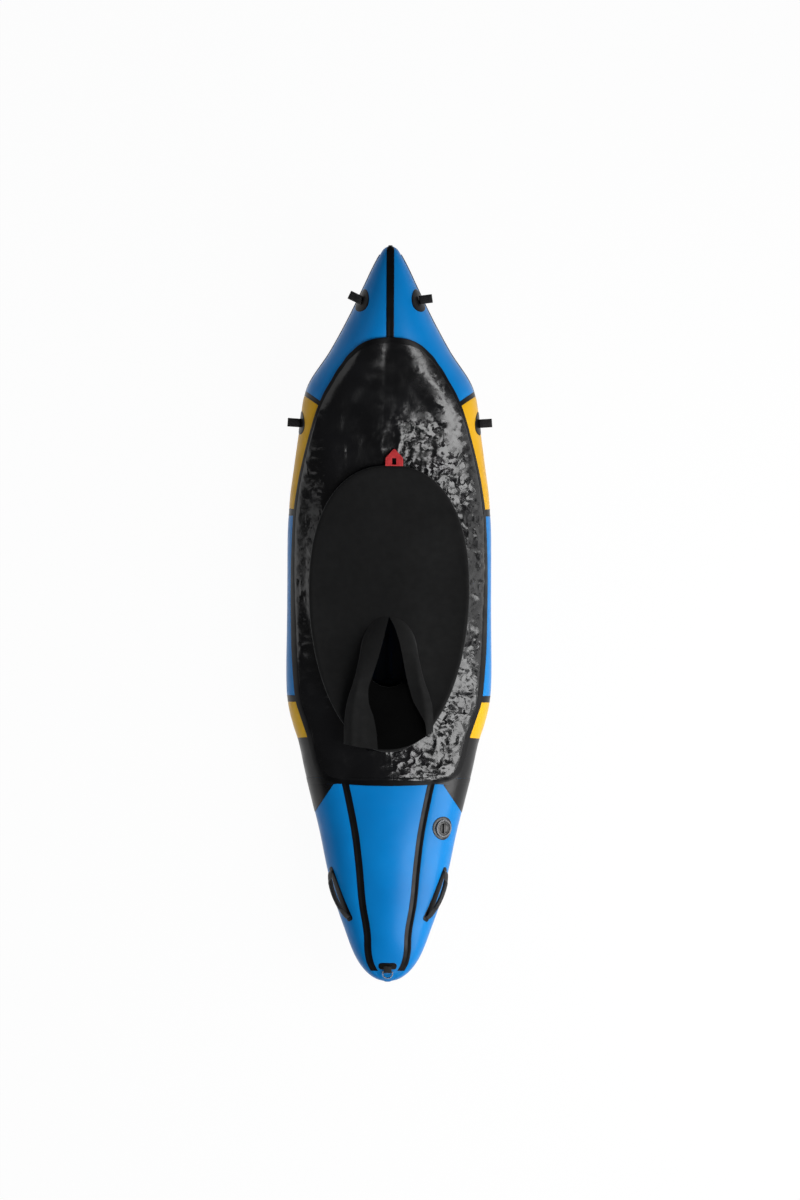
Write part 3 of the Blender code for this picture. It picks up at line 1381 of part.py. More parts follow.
def add_tunnel():
    outer = tunnel_grid()
    inner = []
    rows = len(outer)
    for i, row in enumerate(outer):
        points = []
        for j, point in enumerate(row):
            before = outer[max(i - 1, 0)][j]
            after = outer[min(i + 1, rows - 1)][j]
            one = after - before
            two = row[(j + 1) % len(row)] - row[j - 1]
            normal = two.cross(one).normalized()
            points.append(point - normal * TUNNEL_THICKNESS)
        inner.append(points)
    sections = outer + list(reversed(inner))
    obj = add_skin("waist_tunnel", "skirt_black", sections, ring=True)
    pivot = Vector((0, WAIST_HOLE_CENTRE + WAIST_HOLE_HALF_LENGTH, outer[0][0].z))
    set_origin(obj, pivot)


def add_grab_tab():
    """The red pull tab on the front of the skirt, laid forward on the deck."""
    tip = egg(RIGHT_ANGLE)
    level = coaming_centre(RIGHT_ANGLE).z
    pivot = Vector((GRAB_TAB_OFFSET, tip.y - GRAB_TAB_SETBACK, level + SLEEVE_RADIUS * GRAB_TAB_HEIGHT_SHARE))
    turn = math.radians(GRAB_TAB_SLOPE)
    ahead = Vector((0, math.cos(turn), -math.sin(turn)))
    up = Vector((-1, 0, 0)).cross(ahead)
    frame = (pivot, (ahead, up if up.z > 0 else -up, Vector((1, 0, 0))))
    half = GRAB_TAB_WIDTH / 2
    length = GRAB_TAB_LENGTH
    shoulder = length * 0.72
    slot = GRAB_TAB_SLOT_WIDTH / 2
    start = GRAB_TAB_THICKNESS * 2
    end = start + GRAB_TAB_SLOT_LENGTH
    outside = [(0, -half), (shoulder, -half), (length, -half * 0.2)]
    inside = [(start, -slot), (end * 0.8, -slot), (end, -slot * 0.4)]
    outside += [(u, -v) for u, v in reversed(outside)]
    inside += [(u, -v) for u, v in reversed(inside)]
    obj = add_eyelet("grab_tab", "red", outside, inside, GRAB_TAB_THICKNESS, frame)
    set_origin(obj, pivot)


def add_fittings():
    add_tie_points()
    for side, word in ((-1, "left"), (1, "right")):
        add_handle(word, side)
    add_stern_ring()
    add_valve()
    add_seat()
    add_back_strap()
    add_tunnel()
    add_grab_tab()


def main():
    clear_scene()
    add_hull_ring()
    add_stern()
    add_gussets()
    add_bow_tape()
    add_floor()
    add_coaming()
    add_deck()
    add_skirt()
    add_fittings()


main()
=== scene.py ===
"""Looks of a solo decked packraft: tubes of coated nylon, a crumpled spray deck, a skirt and fittings.

Metres, +Z up, +Y towards the bow, +X to the paddler's right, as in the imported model.
"""

import math

import bmesh
import bpy
import numpy as np
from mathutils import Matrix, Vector


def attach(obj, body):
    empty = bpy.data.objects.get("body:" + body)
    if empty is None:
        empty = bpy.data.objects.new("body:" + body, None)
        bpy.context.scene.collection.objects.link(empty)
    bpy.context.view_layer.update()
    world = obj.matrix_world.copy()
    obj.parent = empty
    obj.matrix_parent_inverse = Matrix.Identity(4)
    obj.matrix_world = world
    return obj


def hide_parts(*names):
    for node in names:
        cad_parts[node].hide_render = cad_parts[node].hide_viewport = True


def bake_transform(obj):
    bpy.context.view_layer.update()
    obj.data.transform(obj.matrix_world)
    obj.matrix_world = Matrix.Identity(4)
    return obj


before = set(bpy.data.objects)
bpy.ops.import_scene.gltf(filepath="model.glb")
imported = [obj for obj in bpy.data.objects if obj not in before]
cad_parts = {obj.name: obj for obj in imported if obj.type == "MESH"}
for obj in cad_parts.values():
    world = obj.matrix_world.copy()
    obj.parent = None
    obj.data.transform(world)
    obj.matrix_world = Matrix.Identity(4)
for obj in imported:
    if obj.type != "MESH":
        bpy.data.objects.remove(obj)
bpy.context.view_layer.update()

bl_info = {
    "name": "Packraft",
    "version": (1, 0, 0),
    "blender": (4, 5, 0),
    "location": "View3D > Sidebar > Packraft",
    "description": "Builds a decked packraft round its packed frame, with its materials and studio",
    "category": "Object",
}

# Hull
LENGTH = 2.90
BEAM = 0.812
TUBE_RADIUS = 0.132
BOW_RISE = 0.262
STERN_RISE = 0.135
STERN_CROWN = 0.022
STERN_TIP_ROUND = 0.003
FIT_GAP = 0.0003
CURVE_GAP = 0.0007
TAPE_THICKNESS = 0.0006
FLOOR_THICKNESS = 0.0020
PATCH_THICKNESS = 0.0012
PANEL_THICKNESS = 0.0012
FRONT_SEAM_WIDTH = 0.018
MIDDLE_SEAM_WIDTH = 0.028
REAR_SEAM_WIDTH = 0.026
BOW_TAPE_WIDTH = 0.030
BOW_TAPE_GAP = 0.0016
TAPE_BRIDGE = 0.6
DECK_BRIDGE = 0.16
STERN_TAPE_WIDTH = 0.028
FLOOR_EDGE_DEGREES = 66.0
GUSSET_EDGE_DEGREES = 60.0
DECK_STRIP_WIDTH = 0.022
PINCH_DEPTH = 0.0016
PINCH_REACH = 0.016
PUCKER_HEIGHT = 0.0009
PUCKER_REACH = 0.030
PUCKER_START = 0.012
SEAM_PUCKER_HEIGHT = 0.0007
SEAM_PUCKER_REACH = 0.028
SEAM_DIP = 0.0011
SEAM_DIP_REACH = 0.012
BULKHEAD_BULGE = 0.010
EDGE_FADE = 0.0015
NOSE_GAP = 0.0012
FLOOR_TOP_DEGREES = 4.0

# Cockpit
DECK_LIFT = 0.0015
DECK_THICKNESS = 0.0012
DECK_SAG_SHARE = 0.02
COAMING_ROD_RADIUS = 0.0075
SLEEVE_RADIUS = 0.0101
SLEEVE_THICKNESS = 0.0012
COAMING_LIFT = 0.0468
COAMING_NECK = 0.020
COAMING_FLARE = 0.003
COAMING_FRONT_RISE = 0.034
COAMING_POWER = 2.3
SKIRT_THICKNESS = 0.0015
SKIRT_HALF_WIDTH = 0.316
SKIRT_FRONT = 0.585
SKIRT_REAR = -0.545
SKIRT_WIDEST = 0.095
SKIRT_SKIRTING = 0.010
SKIRT_SHOULDER = 0.011
SKIRT_SAG = 0.008
HEM_CORD_RADIUS = 0.0030
WAIST_HOLE_HALF_WIDTH = 0.112
WAIST_HOLE_HALF_LENGTH = 0.140
WAIST_HOLE_CENTRE = -0.150
WAIST_HOLE_RISE = 0.012
TUNNEL_HALF_WIDTH = 0.176
TUNNEL_REAR = -0.535
TUNNEL_CLOTH = 0.0009
TUNNEL_LINING = 0.0005
GUSSET_INSETS = (0.0006, 0.0014)
CRUMPLE_LARGE = 0.0034
CRUMPLE_SMALL = 0.0021
LONG_FOLDS = 0.0005
NECK_PULLS = 0.0034
EDGE_PULLS = 0.0012
BROAD_WAVES = (0.0005, 0.0016)
CREASE_WARP = 0.028
DECK_SOFT_GAP = 0.010
SLEEVE_SLOT_DEGREES = 35.0
MOUTH_SWEEP = (0.075, 0.022)
MOUTH_DROPS = (0.026, 0.010)
MOUTH_FOLD_RISE = 0.008
TUNNEL_WAVES = 0.0018
SKIRT_WAVES = 0.0022
SKIRT_PULLS = 0.0007

# Fittings
TIE_PATCH_RADIUS = 0.046
TIE_LOOP_LENGTH = 0.052
TIE_LOOP_WIDTH = 0.034
LOOP_WALL = 0.0024
LOOP_RADIUS = 0.0060
LOOP_CLEARANCE = 0.0005
SIDE_LOOP_SINK = 0.0016
HANDLE_BASE_WIDTH = 0.030
HANDLE_HEIGHT = 0.028
HANDLE_GRIP_RADIUS = 0.0090
HANDLE_END_RADIUS = 0.0045
HANDLE_SINK = 0.0024
HANDLE_ARCH_POWER = 0.6
HANDLE_FLAT = (0.0125, 0.0016)
WEBBING_ROUND = 0.46
STERN_PATCH_HALF_WIDTH = 0.036
STERN_PATCH_HALF_LENGTH = 0.021
STERN_TAB_WIDTH = 0.030
STERN_TAB_LENGTH = 0.026
STERN_TAB_WALL = 0.0016
STERN_TAB_LIFT = 0.0005
RING_WIRE_RADIUS = 0.0023
RING_CLEARANCE = 0.0006
VALVE_FLANGE_RADIUS = 0.046
VALVE_COLLAR_RADIUS = 0.035
VALVE_COLLAR_HEIGHT = 0.0085
VALVE_RECESS_RADIUS = 0.0285
VALVE_RECESS_DEPTH = 0.0060
VALVE_BORE_RADIUS = 0.0210
VALVE_CLEARANCE = 0.0004
CAP_THICKNESS = 0.0045
CAP_GRIP_LENGTH = 0.040
CAP_GRIP_WIDTH = 0.009
CAP_GRIP_HEIGHT = 0.0050
GRAB_TAB_WIDTH = 0.070
GRAB_TAB_LENGTH = 0.068
GRAB_TAB_THICKNESS = 0.0030
GRAB_TAB_SLOT_WIDTH = 0.016
GRAB_TAB_SLOT_LENGTH = 0.026
GRAB_TAB_SETBACK = 0.0022
GRAB_TAB_OFFSET = 0.018
GRAB_TAB_SLOPE = 8.0
GRAB_TAB_HEIGHT_SHARE = 0.85
GRAB_TAB_BOW = 0.0016

# Seat and backrest
SEAT_HALF_WIDTH = 0.130
SEAT_FRONT = 0.100
SEAT_REAR = -0.300
SEAT_HEIGHT = 0.080
BACKREST_HALF_WIDTH = 0.124
BACKREST_THICKNESS = 0.060
BACKREST_TOP = 0.262
BACKREST_GAP = 0.0006
CUSHION_CORNER = 0.045
BACK_STRAP_HEIGHT = 0.185
BACK_STRAP_WIDTH = 0.025
BACK_STRAP_THICKNESS = 0.0020
BACK_STRAP_END = 0.050
BACK_STRAP_SETBACK = 0.010
BACK_STRAP_LIFT = 0.0018
STRAP_TAB_RADIUS = 0.032
CUSHION_CROWN = 0.020
CUSHION_VOXEL = 0.006
CUSHION_PRESSURE = 4.0
CUSHION_FRAMES = 20
CHANNEL_DEPTH = 0.013
CHANNEL_REACH = 0.014
# Radius and height, from the middle out and up
SEAT_VALVE_PROFILE = (
    (0.0002, 0.0), (0.016, 0.0), (0.016, 0.001), (0.011, 0.0018), (0.011, 0.012), (0.0102, 0.0135),
    (0.006, 0.0138), (0.006, 0.016), (0.0052, 0.017), (0.0002, 0.017),
)

# Studio
SENSOR_WIDTH = 36.0
CAMERA_AIM_HEIGHT = 0.2
FLOOR_PLANE_DROP = 0.0005

# Places along the hull, as shares of its length from the bow tip
FRONT_SEAM_SHARE = 0.2003
MIDDLE_SEAM_SHARE = 0.3617
REAR_SEAM_SHARE = 0.6158
QUARTER_SEAM_SHARE = 0.6696
BULKHEAD_SHARE = 0.7234
GUSSET_START_SHARE = 0.7316
GUSSET_END_SHARE = 0.7710
GUSSET_WIDTH_SHARES = (0.530, 0.718)
BOW_TIE = (0.0715, 0.32)
SIDE_TIE = (0.2400, 0.15)
BOW_LOOP_TURN_SHARES = (0.08, -0.12)
HANDLE_SHARES = (0.8500, 0.9130)
HANDLE_TURN_SHARES = (0.32, 0.56)
STERN_PATCH_SHARE = 0.9790
VALVE_PLACE = (0.7915, 0.60)

# Half width of the hull's outline, as shares of half the beam
OUTLINE_SHARES = (
    (0.0, 0.012), (0.0041, 0.063), (0.0123, 0.102), (0.0286, 0.165), (0.0531, 0.248),
    (0.094, 0.389), (0.143, 0.579), (0.192, 0.803), (0.208, 0.842), (0.249, 0.881),
    (0.298, 0.929), (0.347, 0.973), (0.40, 0.992), (0.50, 0.994), (0.576, 1.0),
    (0.609, 0.993), (0.625, 0.978), (0.650, 0.934), (0.674, 0.878), (0.715, 0.813),
    (0.748, 0.754), (0.797, 0.667), (0.846, 0.594), (0.895, 0.506), (0.928, 0.423),
    (0.960, 0.336), (0.977, 0.268), (0.993, 0.156), (0.998, 0.085), (1.0, 0.020),
)
# Half width and half height of the tube's section, as shares of the tube's radius
TUBE_WIDTH_SHARES = (
    (0.0, 0.07), (0.0041, 0.285), (0.0123, 0.40), (0.0286, 0.60), (0.0531, 0.83),
    (0.094, 1.0), (0.143, 1.02), (0.30, 1.0), (0.62, 1.0), (0.70, 1.07),
    (0.7234, 1.13), (0.79, 1.07), (0.838, 0.99), (0.887, 0.83), (0.936, 0.63),
    (0.960, 0.45), (0.977, 0.33), (0.993, 0.23), (0.998, 0.17), (1.0, 0.05),
)
TUBE_HEIGHT_SHARES = (
    (0.0, 0.20), (0.0041, 0.30), (0.0123, 0.40), (0.0286, 0.56), (0.0531, 0.76),
    (0.094, 0.95), (0.143, 1.02), (0.22, 1.02), (0.30, 1.0), (0.66, 1.0),
    (0.7234, 1.03), (0.79, 1.02), (0.838, 0.95), (0.887, 0.85), (0.936, 0.70),
    (0.960, 0.58), (0.977, 0.47), (0.993, 0.30), (0.998, 0.18), (1.0, 0.06),
)
BOW_RISE_SHARES = (
    (0.0, 1.0), (0.0286, 0.925), (0.0531, 0.85), (0.094, 0.715), (0.143, 0.535),
    (0.20, 0.35), (0.26, 0.20), (0.32, 0.09), (0.37, 0.02), (0.40, 0.0), (1.0, 0.0),
)
STERN_RISE_SHARES = (
    (0.0, 0.0), (0.64, 0.0), (0.70, 0.05), (0.78, 0.18), (0.85, 0.36),
    (0.90, 0.53), (0.95, 0.74), (0.977, 0.87), (1.0, 1.0),
)
CROWN_SHARES = ((0.0, 0.0), (0.66, 0.0), (0.7234, 0.7), (0.80, 1.0), (0.93, 0.8), (0.977, 0.4), (1.0, 0.0))
# Turn of each section plane away from square across, in shares of a right angle
SLANT_SHARES = (
    (0.0, 0.644), (0.0041, 0.60), (0.0123, 0.511), (0.0286, 0.422), (0.0531, 0.367),
    (0.094, 0.344), (0.143, 0.356), (0.20, 0.389), (0.27, 0.244), (0.34, 0.078),
    (0.40, 0.0), (0.64, 0.0), (0.674, -0.067), (0.70, -0.044), (0.7234, 0.0), (1.0, 0.0),
)
# The deck's edge: place along the hull and half width, as shares of the length and of half the beam
DECK_EDGE_SHARES = (
    (0.1240, 0.0), (0.1267, 0.156), (0.1349, 0.297), (0.1431, 0.365), (0.1512, 0.423),
    (0.1594, 0.462), (0.1676, 0.506), (0.1839, 0.574), (0.2003, 0.642), (0.2248, 0.715),
    (0.2575, 0.783), (0.2902, 0.842), (0.3229, 0.891), (0.3719, 0.937), (0.4537, 0.955),
    (0.5354, 0.949), (0.5926, 0.925), (0.6172, 0.905), (0.6417, 0.852), (0.6662, 0.793),
    (0.6853, 0.759), (0.7044, 0.725), (0.7180, 0.681), (0.7262, 0.603), (0.7316, 0.438),
    (0.7337, 0.200), (0.7343, 0.0),
)
# The tunnel's rows from its hem to its mouth: place, tilt from level, half width, depth and lift
TUNNEL_SHARES = (
    (0.0, 0.0, 0.636, 1.0, 0.0),
    (0.02, 0.09, 0.66, 0.86, 0.5),
    (0.05, 0.18, 0.71, 0.64, 1.0),
    (0.09, 0.32, 0.78, 0.40, 1.0),
    (0.15, 0.55, 0.86, 0.22, 1.0),
    (0.28, 0.80, 0.93, 0.15, 1.0),
    (0.48, 0.95, 0.98, 0.135, 1.0),
    (0.74, 1.0, 1.0, 0.135, 1.0),
    (1.0, 1.0, 1.0, 0.14, 1.0),
)
# Where the sunken mouth's lips lie, from the hem to the rear, as shares of the tunnel's half width
MOUTH_LEFT_SHARES = (
    (0.0, 0.004), (0.02, 0.10), (0.05, 0.24), (0.09, 0.40), (0.15, 0.52), (0.28, 0.48), (0.48, 0.35),
    (0.74, 0.27), (1.0, 0.24),
)
MOUTH_RIGHT_SHARES = (
    (0.0, 0.004), (0.02, 0.22), (0.05, 0.38), (0.09, 0.46), (0.15, 0.52), (0.28, 0.58), (0.48, 0.70),
    (0.74, 0.82), (1.0, 0.86),
)
RIGHT_ANGLE = math.pi / 2
SIDES = ((-1, "left"), (1, "right"))

# Mesh density
TUBE_COLUMNS = 72
ROW_STEP = 0.013
DECK_TURNS = 640
DECK_RINGS = 90
SKIRT_TURNS = 256


# Curves and noise

class Curve:
    """A smooth curve through (place, value) pairs that doesn't overshoot between them."""

    def __init__(self, table):
        self.x = np.array([row[0] for row in table], float)
        self.y = np.array([row[1] for row in table], float)
        step = np.diff(self.x)
        slope = np.diff(self.y) / step
        ends = [slope[0]]
        for left, right, before, after in zip(slope, slope[1:], step, step[1:]):
            if left * right <= 0:
                ends.append(0.0)
                continue
            one = 2 * after + before
            two = after + 2 * before
            ends.append((one + two) / (one / left + two / right))
        ends.append(slope[-1])
        self.m = np.array(ends)

    def __call__(self, place):
        place = np.clip(place, self.x[0], self.x[-1])
        i = np.clip(np.searchsorted(self.x, place) - 1, 0, len(self.x) - 2)
        step = self.x[i + 1] - self.x[i]
        t = (place - self.x[i]) / step
        value = self.y[i] * (1 + 2 * t) * (1 - t) ** 2 + self.y[i + 1] * t * t * (3 - 2 * t)
        return value + step * t * (1 - t) * (self.m[i] * (1 - t) - self.m[i + 1] * t)


outline_share = Curve(OUTLINE_SHARES)
tube_width_share = Curve(TUBE_WIDTH_SHARES)
tube_height_share = Curve(TUBE_HEIGHT_SHARES)
bow_rise_share = Curve(BOW_RISE_SHARES)
stern_rise_share = Curve(STERN_RISE_SHARES)
crown_share = Curve(CROWN_SHARES)
slant_share = Curve(SLANT_SHARES)
deck_edge_share = Curve(DECK_EDGE_SHARES)

NOISE_TABLE = np.random.default_rng(7).uniform(-1, 1, 65536)


def noise_field(points, size, seed=0):
    """Smooth noise from -1 to 1 at points (..., 3), its bumps about size metres across."""
    q = np.asarray(points, float) / size + 31.7 * seed + 1000.0
    cell = np.floor(q).astype(np.int64)
    part = q - cell
    part = part * part * (3 - 2 * part)
    total = np.zeros(q.shape[:-1])
    for dx in (0, 1):
        for dy in (0, 1):
            for dz in (0, 1):
                key = (cell[..., 0] + dx) * 73856093
                key ^= (cell[..., 1] + dy) * 19349663
                key ^= (cell[..., 2] + dz) * 83492791
                weight = (part[..., 0] if dx else 1 - part[..., 0])
                weight = weight * (part[..., 1] if dy else 1 - part[..., 1])
                weight = weight * (part[..., 2] if dz else 1 - part[..., 2])
                total += weight * NOISE_TABLE[key & 65535]
    return total


def ridge_field(points, size, seed=0):
    """Noise folded into sharp crests, from 0 to 1."""
    return 1 - np.clip(np.abs(noise_field(points, size, seed)) * 2.2, 0, 1)


def smoothstep(low, high, value):
    t = np.clip((value - low) / (high - low), 0, 1)
    return t * t * (3 - 2 * t)


def xyz(x, y, z=0.0):
    """Points (..., 3) from coordinates of any shapes that fit together."""
    return np.stack(np.broadcast_arrays(x, y, z), -1)


# The hull's surface

TAPE_TOP = FIT_GAP + TAPE_THICKNESS
FLOOR_LIFT = TAPE_TOP + FIT_GAP
PATCH_BED = CURVE_GAP * 0.6
PATCH_BODY = PATCH_THICKNESS + CURVE_GAP - PATCH_BED
AXIS_REST = TUBE_RADIUS + FLOOR_LIFT + FLOOR_THICKNESS
BULKHEAD = BULKHEAD_SHARE * LENGTH
COAMING_HEIGHT = AXIS_REST + TUBE_RADIUS + COAMING_LIFT
VALVE_SPOT = (VALVE_PLACE[0] * LENGTH, VALVE_PLACE[1] * RIGHT_ANGLE)
SEAM_PLACES = [share * LENGTH for share in (FRONT_SEAM_SHARE, MIDDLE_SEAM_SHARE, REAR_SEAM_SHARE)]


def half_width(s):
    return BEAM / 2 * outline_share(s / LENGTH)


def tube_half_width(s):
    return TUBE_RADIUS * tube_width_share(s / LENGTH)


def tube_half_height(s):
    return TUBE_RADIUS * tube_height_share(s / LENGTH)


def axis_height(s):
    share = s / LENGTH
    return AXIS_REST + BOW_RISE * bow_rise_share(share) + STERN_RISE * stern_rise_share(share)


def slant(s):
    return RIGHT_ANGLE * slant_share(s / LENGTH)


def along(s):
    return LENGTH / 2 - s


def crest_width(s):
    return half_width(s) - tube_half_width(s)


def pinch(s, angle):
    """How far the skin draws in towards the cross seams, with short puckers beside them."""
    depth = PINCH_DEPTH * bpy.context.scene.packraft_sizes.seam_pinch
    dip = np.zeros(s.shape)
    for number, place in enumerate(SEAM_PLACES):
        away = np.abs(s - place)
        ring = xyz(np.cos(angle) * 3, np.sin(angle) * 3, number)
        pucker = noise_field(ring, 0.35, number + 3)
        dip = dip - depth * np.exp(-((away / PINCH_REACH) ** 2))
        beside = np.exp(-((away / PUCKER_REACH) ** 2)) * (1 - np.exp(-((away / PUCKER_START) ** 2)))
        dip = dip + PUCKER_HEIGHT * pucker * beside
    return dip


def tube(s, angle, lift=0.0, side=1, shaped=True):
    """Points on a side tube: angle 0 is outboard and a right angle is on top."""
    s, angle = np.broadcast_arrays(np.asarray(s, float), np.asarray(angle, float))
    wide = tube_half_width(s)
    high = tube_half_height(s)
    turn = slant(s)
    out_u = high * np.cos(angle)
    out_v = wide * np.sin(angle)
    size = np.hypot(out_u, out_v)
    rise = lift + (pinch(s, angle) if shaped else 0.0)
    u = wide * (np.cos(angle) - 1) + rise * out_u / size
    x = half_width(s) + np.cos(turn) * u
    y = along(s) + np.sin(turn) * u
    z = axis_height(s) + high * np.sin(angle) + rise * out_v / size
    return xyz(side * x, y, z)


def mitre_angle(s):
    """How far round the section runs before it meets the boat's middle plane."""
    wide = tube_half_width(s)
    centre = half_width(s) - np.cos(slant(s)) * wide
    return np.arccos(np.clip((FIT_GAP / 2 - centre) / (wide * np.cos(slant(s))), -1, 1))


def top_surface(s, share, lift=0.0):
    """Points on the stern's top panel, from share -1 at the left tape to 1 at the right."""
    s, share = np.broadcast_arrays(np.asarray(s, float), np.asarray(share, float))
    crown = STERN_CROWN * crown_share(s / LENGTH)
    z = axis_height(s) + tube_half_height(s) + crown * (1 - share * share) + lift
    return xyz(crest_width(s) * share, along(s), z)


def hull_top(x, y):
    """The hull's upper surface over points in plan, NaN between the tubes."""
    x = np.abs(x)
    s = LENGTH / 2 - y
    on_top = (s >= BULKHEAD) & (x < crest_width(s))
    share = np.clip(x / np.maximum(crest_width(s), 1e-6), 0, 1)
    top = top_surface(s, share)[..., 2]
    low = np.zeros_like(x)
    high = np.full_like(x, LENGTH)
    for _ in range(34):
        middle = (low + high) / 2
        ahead = y - along(middle) - (x - half_width(middle)) * np.tan(slant(middle)) > 0
        high = np.where(ahead, middle, high)
        low = np.where(ahead, low, middle)
    s = (low + high) / 2
    wide = tube_half_width(s)
    centre = half_width(s) - np.cos(slant(s)) * wide
    cosine = (x - centre) / (np.cos(slant(s)) * wide)
    height = axis_height(s) + tube_half_height(s) * np.sqrt(np.clip(1 - cosine * cosine, 0, 1))
    height = np.where(np.abs(cosine) > 1, np.nan, height)
    return np.where(on_top, top, height)


def tangents(s, angle, side=1):
    """The tube's tangents along it and round it at one point, and its outward normal."""
    step = 0.0005
    down = (tube(s + step, angle, 0, side, False) - tube(s - step, angle, 0, side, False)) / (2 * step)
    turn = (tube(s, angle + step, 0, side, False) - tube(s, angle - step, 0, side, False)) / (2 * step)
    normal = np.cross(turn, down) * side
    return down, turn, normal / np.linalg.norm(normal)


# Meshes

def place_object(name, data):
    obj = bpy.data.objects.new(name, data)
    bpy.context.scene.collection.objects.link(obj)
    return obj


def place_mesh(name, points, faces, sharp=50.0):
    """An object from points and faces, facing out and shaded smooth between sharp edges."""
    shape = bmesh.new()
    corners = [shape.verts.new(point) for point in np.asarray(points, float).reshape(-1, 3).tolist()]
    for face in faces:
        shape.faces.new([corners[index] for index in face])
    bmesh.ops.delete(shape, geom=[corner for corner in corners if not corner.link_faces], context="VERTS")
    bmesh.ops.recalc_face_normals(shape, faces=shape.faces)
    if shape.calc_volume(signed=True) < 0:
        bmesh.ops.reverse_faces(shape, faces=shape.faces)
    mesh = bpy.data.meshes.new(name)
    shape.to_mesh(mesh)
    shape.free()
    mesh.shade_smooth()
    mesh.set_sharp_from_angle(angle=math.radians(sharp))
    return place_object(name, mesh)


def faces_between(near, far):
    """The faces between two rows of point numbers. Corners that are one point are taken once."""
    corners = (dict.fromkeys(corner) for corner in zip(near, far, far[1:], near[1:]))
    return [list(face) for face in corners if len(face) > 2]


def place_slab(name, outer, inner, ring=False, closed=None, sharp=50.0):
    """A closed sheet with thickness between two grids (rows, columns, 3).

    Its rows may join into a ring, and closed marks the rows that meet themselves round a tube.
    """
    closed = np.zeros(len(outer), bool) if closed is None else closed
    front = np.arange(outer.size // 3).reshape(outer.shape[:2])
    front[closed, -1] = front[closed, 0]
    back = front + outer.size // 3
    order = [*range(len(outer)), 0] if ring else range(len(outer))
    faces = []
    for i, k in zip(order, order[1:]):
        faces += faces_between(front[i], front[k]) + faces_between(back[k], back[i])
        if not (closed[i] and closed[k]):
            for j in (0, -1):
                faces += faces_between(front[[i, k], j], back[[i, k], j])
    if not ring:
        for i in (0, -1):
            faces += faces_between(front[i], back[i])
    return place_mesh(name, np.concatenate((outer, inner)), faces, sharp)


def place_skin(name, sections, ring=False, pointed=False, sharp=50.0):
    """A solid skinned over closed sections (rows, columns, 3). A pointed one starts and ends in a point."""
    rows = np.arange(sections.size // 3).reshape(sections.shape[:2])
    if pointed:
        rows[[0, -1]] = rows[[0, -1], :1]
    faces = []
    for near, far in zip(rows, np.roll(rows, -1, 0) if ring else rows[1:]):
        faces += faces_between((*near, near[0]), (*far, far[0]))
    if not (ring or pointed):
        faces += [rows[0], rows[-1][::-1]]
    return place_mesh(name, sections, faces, sharp)


def grid_normals(grid, ring=False):
    if ring:
        one = np.roll(grid, -1, 0) - np.roll(grid, 1, 0)
    else:
        one = np.gradient(grid, axis=0)
    normal = np.cross(one, np.gradient(grid, axis=1))
    return normal / np.maximum(np.linalg.norm(normal, axis=-1, keepdims=True), 1e-12)


def around(count):
    """Turns at even steps round a circle."""
    return np.linspace(0, 2 * math.pi, count, endpoint=False)


def circle(radius, count=64):
    return np.stack((radius * np.cos(around(count)), radius * np.sin(around(count))), -1)


def rounded_box(half_u, half_v, corner, steps=5):
    """Points round a rectangle with rounded corners, as (u, v) pairs."""
    points = []
    for start, u, v in ((0, 1, 1), (1, -1, 1), (2, -1, -1), (3, 1, -1)):
        for step in range(steps):
            turn = (start + step / (steps - 1)) * RIGHT_ANGLE
            points.append((
                u * (half_u - corner) + corner * math.cos(turn),
                v * (half_v - corner) + corner * math.sin(turn),
            ))
    return np.array(points)


def unit(vector):
    vector = np.asarray(vector, float)
    return vector / np.linalg.norm(vector)


def set_frame(origin, forward, normal):
    """A frame on a surface: forward laid into it, then across, then out of it."""
    out = unit(normal)
    ahead = unit(forward - out * np.dot(forward, out))
    return np.asarray(origin, float), ahead, np.cross(out, ahead), out


def placed(base, u, v, w):
    """Points (..., 3) at u, v, w along a frame's axes."""
    return base[0] + xyz(u, v, w) @ np.array(base[1:])


def revolve(name, profile, base, steps=96, ring=True, sharp=40.0):
    """A solid turned from (radius, height) pairs about a frame's last axis."""
    radius, height = np.array(profile, float).T[..., None]
    turn = around(steps)
    sections = placed(base, radius * np.cos(turn), radius * np.sin(turn), height)
    return place_skin(name, sections, ring=ring, sharp=sharp)


def ribbon(name, path, across, width, thickness, ring=False):
    """Flat webbing along a path: across is its width's direction at each point."""
    across = np.broadcast_to(across, path.shape)
    run = np.roll(path, -1, 0) - np.roll(path, 1, 0) if ring else np.gradient(path, axis=0)
    up = np.cross(run, across)
    up = up / np.linalg.norm(up, axis=1, keepdims=True)
    outline = rounded_box(width / 2, thickness / 2, thickness * WEBBING_ROUND)
    sections = path[:, None] + across[:, None] * outline[None, :, :1] + up[:, None] * outline[None, :, 1:]
    return place_skin(name, sections, ring=ring)


def thinned(away, share=0.5):
    """A tape's thickness where its edge is away metres off, as a share of the full one."""
    return 1 - share * np.exp(-away / EDGE_FADE)


def evaluated(obj):
    """Applies an object's modifiers and returns its new mesh."""
    graph = bpy.context.evaluated_depsgraph_get()
    mesh = bpy.data.meshes.new_from_object(obj.evaluated_get(graph))
    obj.modifiers.clear()
    obj.data = mesh
    return mesh


def coordinates(mesh):
    points = np.empty(len(mesh.vertices) * 3)
    mesh.vertices.foreach_get("co", points)
    return points.reshape(-1, 3)


def finish_piece(obj, key, body, *nodes):
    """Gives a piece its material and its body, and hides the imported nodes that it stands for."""
    obj.data.materials.append(material(key))
    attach(obj, body)
    if nodes:
        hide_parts(*nodes)


def finish_node(node, key):
    """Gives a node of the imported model, which is shown as it is, its material."""
    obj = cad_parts[node]
    obj.data.materials.clear()
    obj.data.materials.append(material(key))


def tube_frame(s, angle):
    """A frame that touches the right tube, its first axis towards the bow."""
    return set_frame(tube(s, angle, 0, 1, False), np.array((0.0, 1.0, 0.0)), tangents(s, angle)[2])


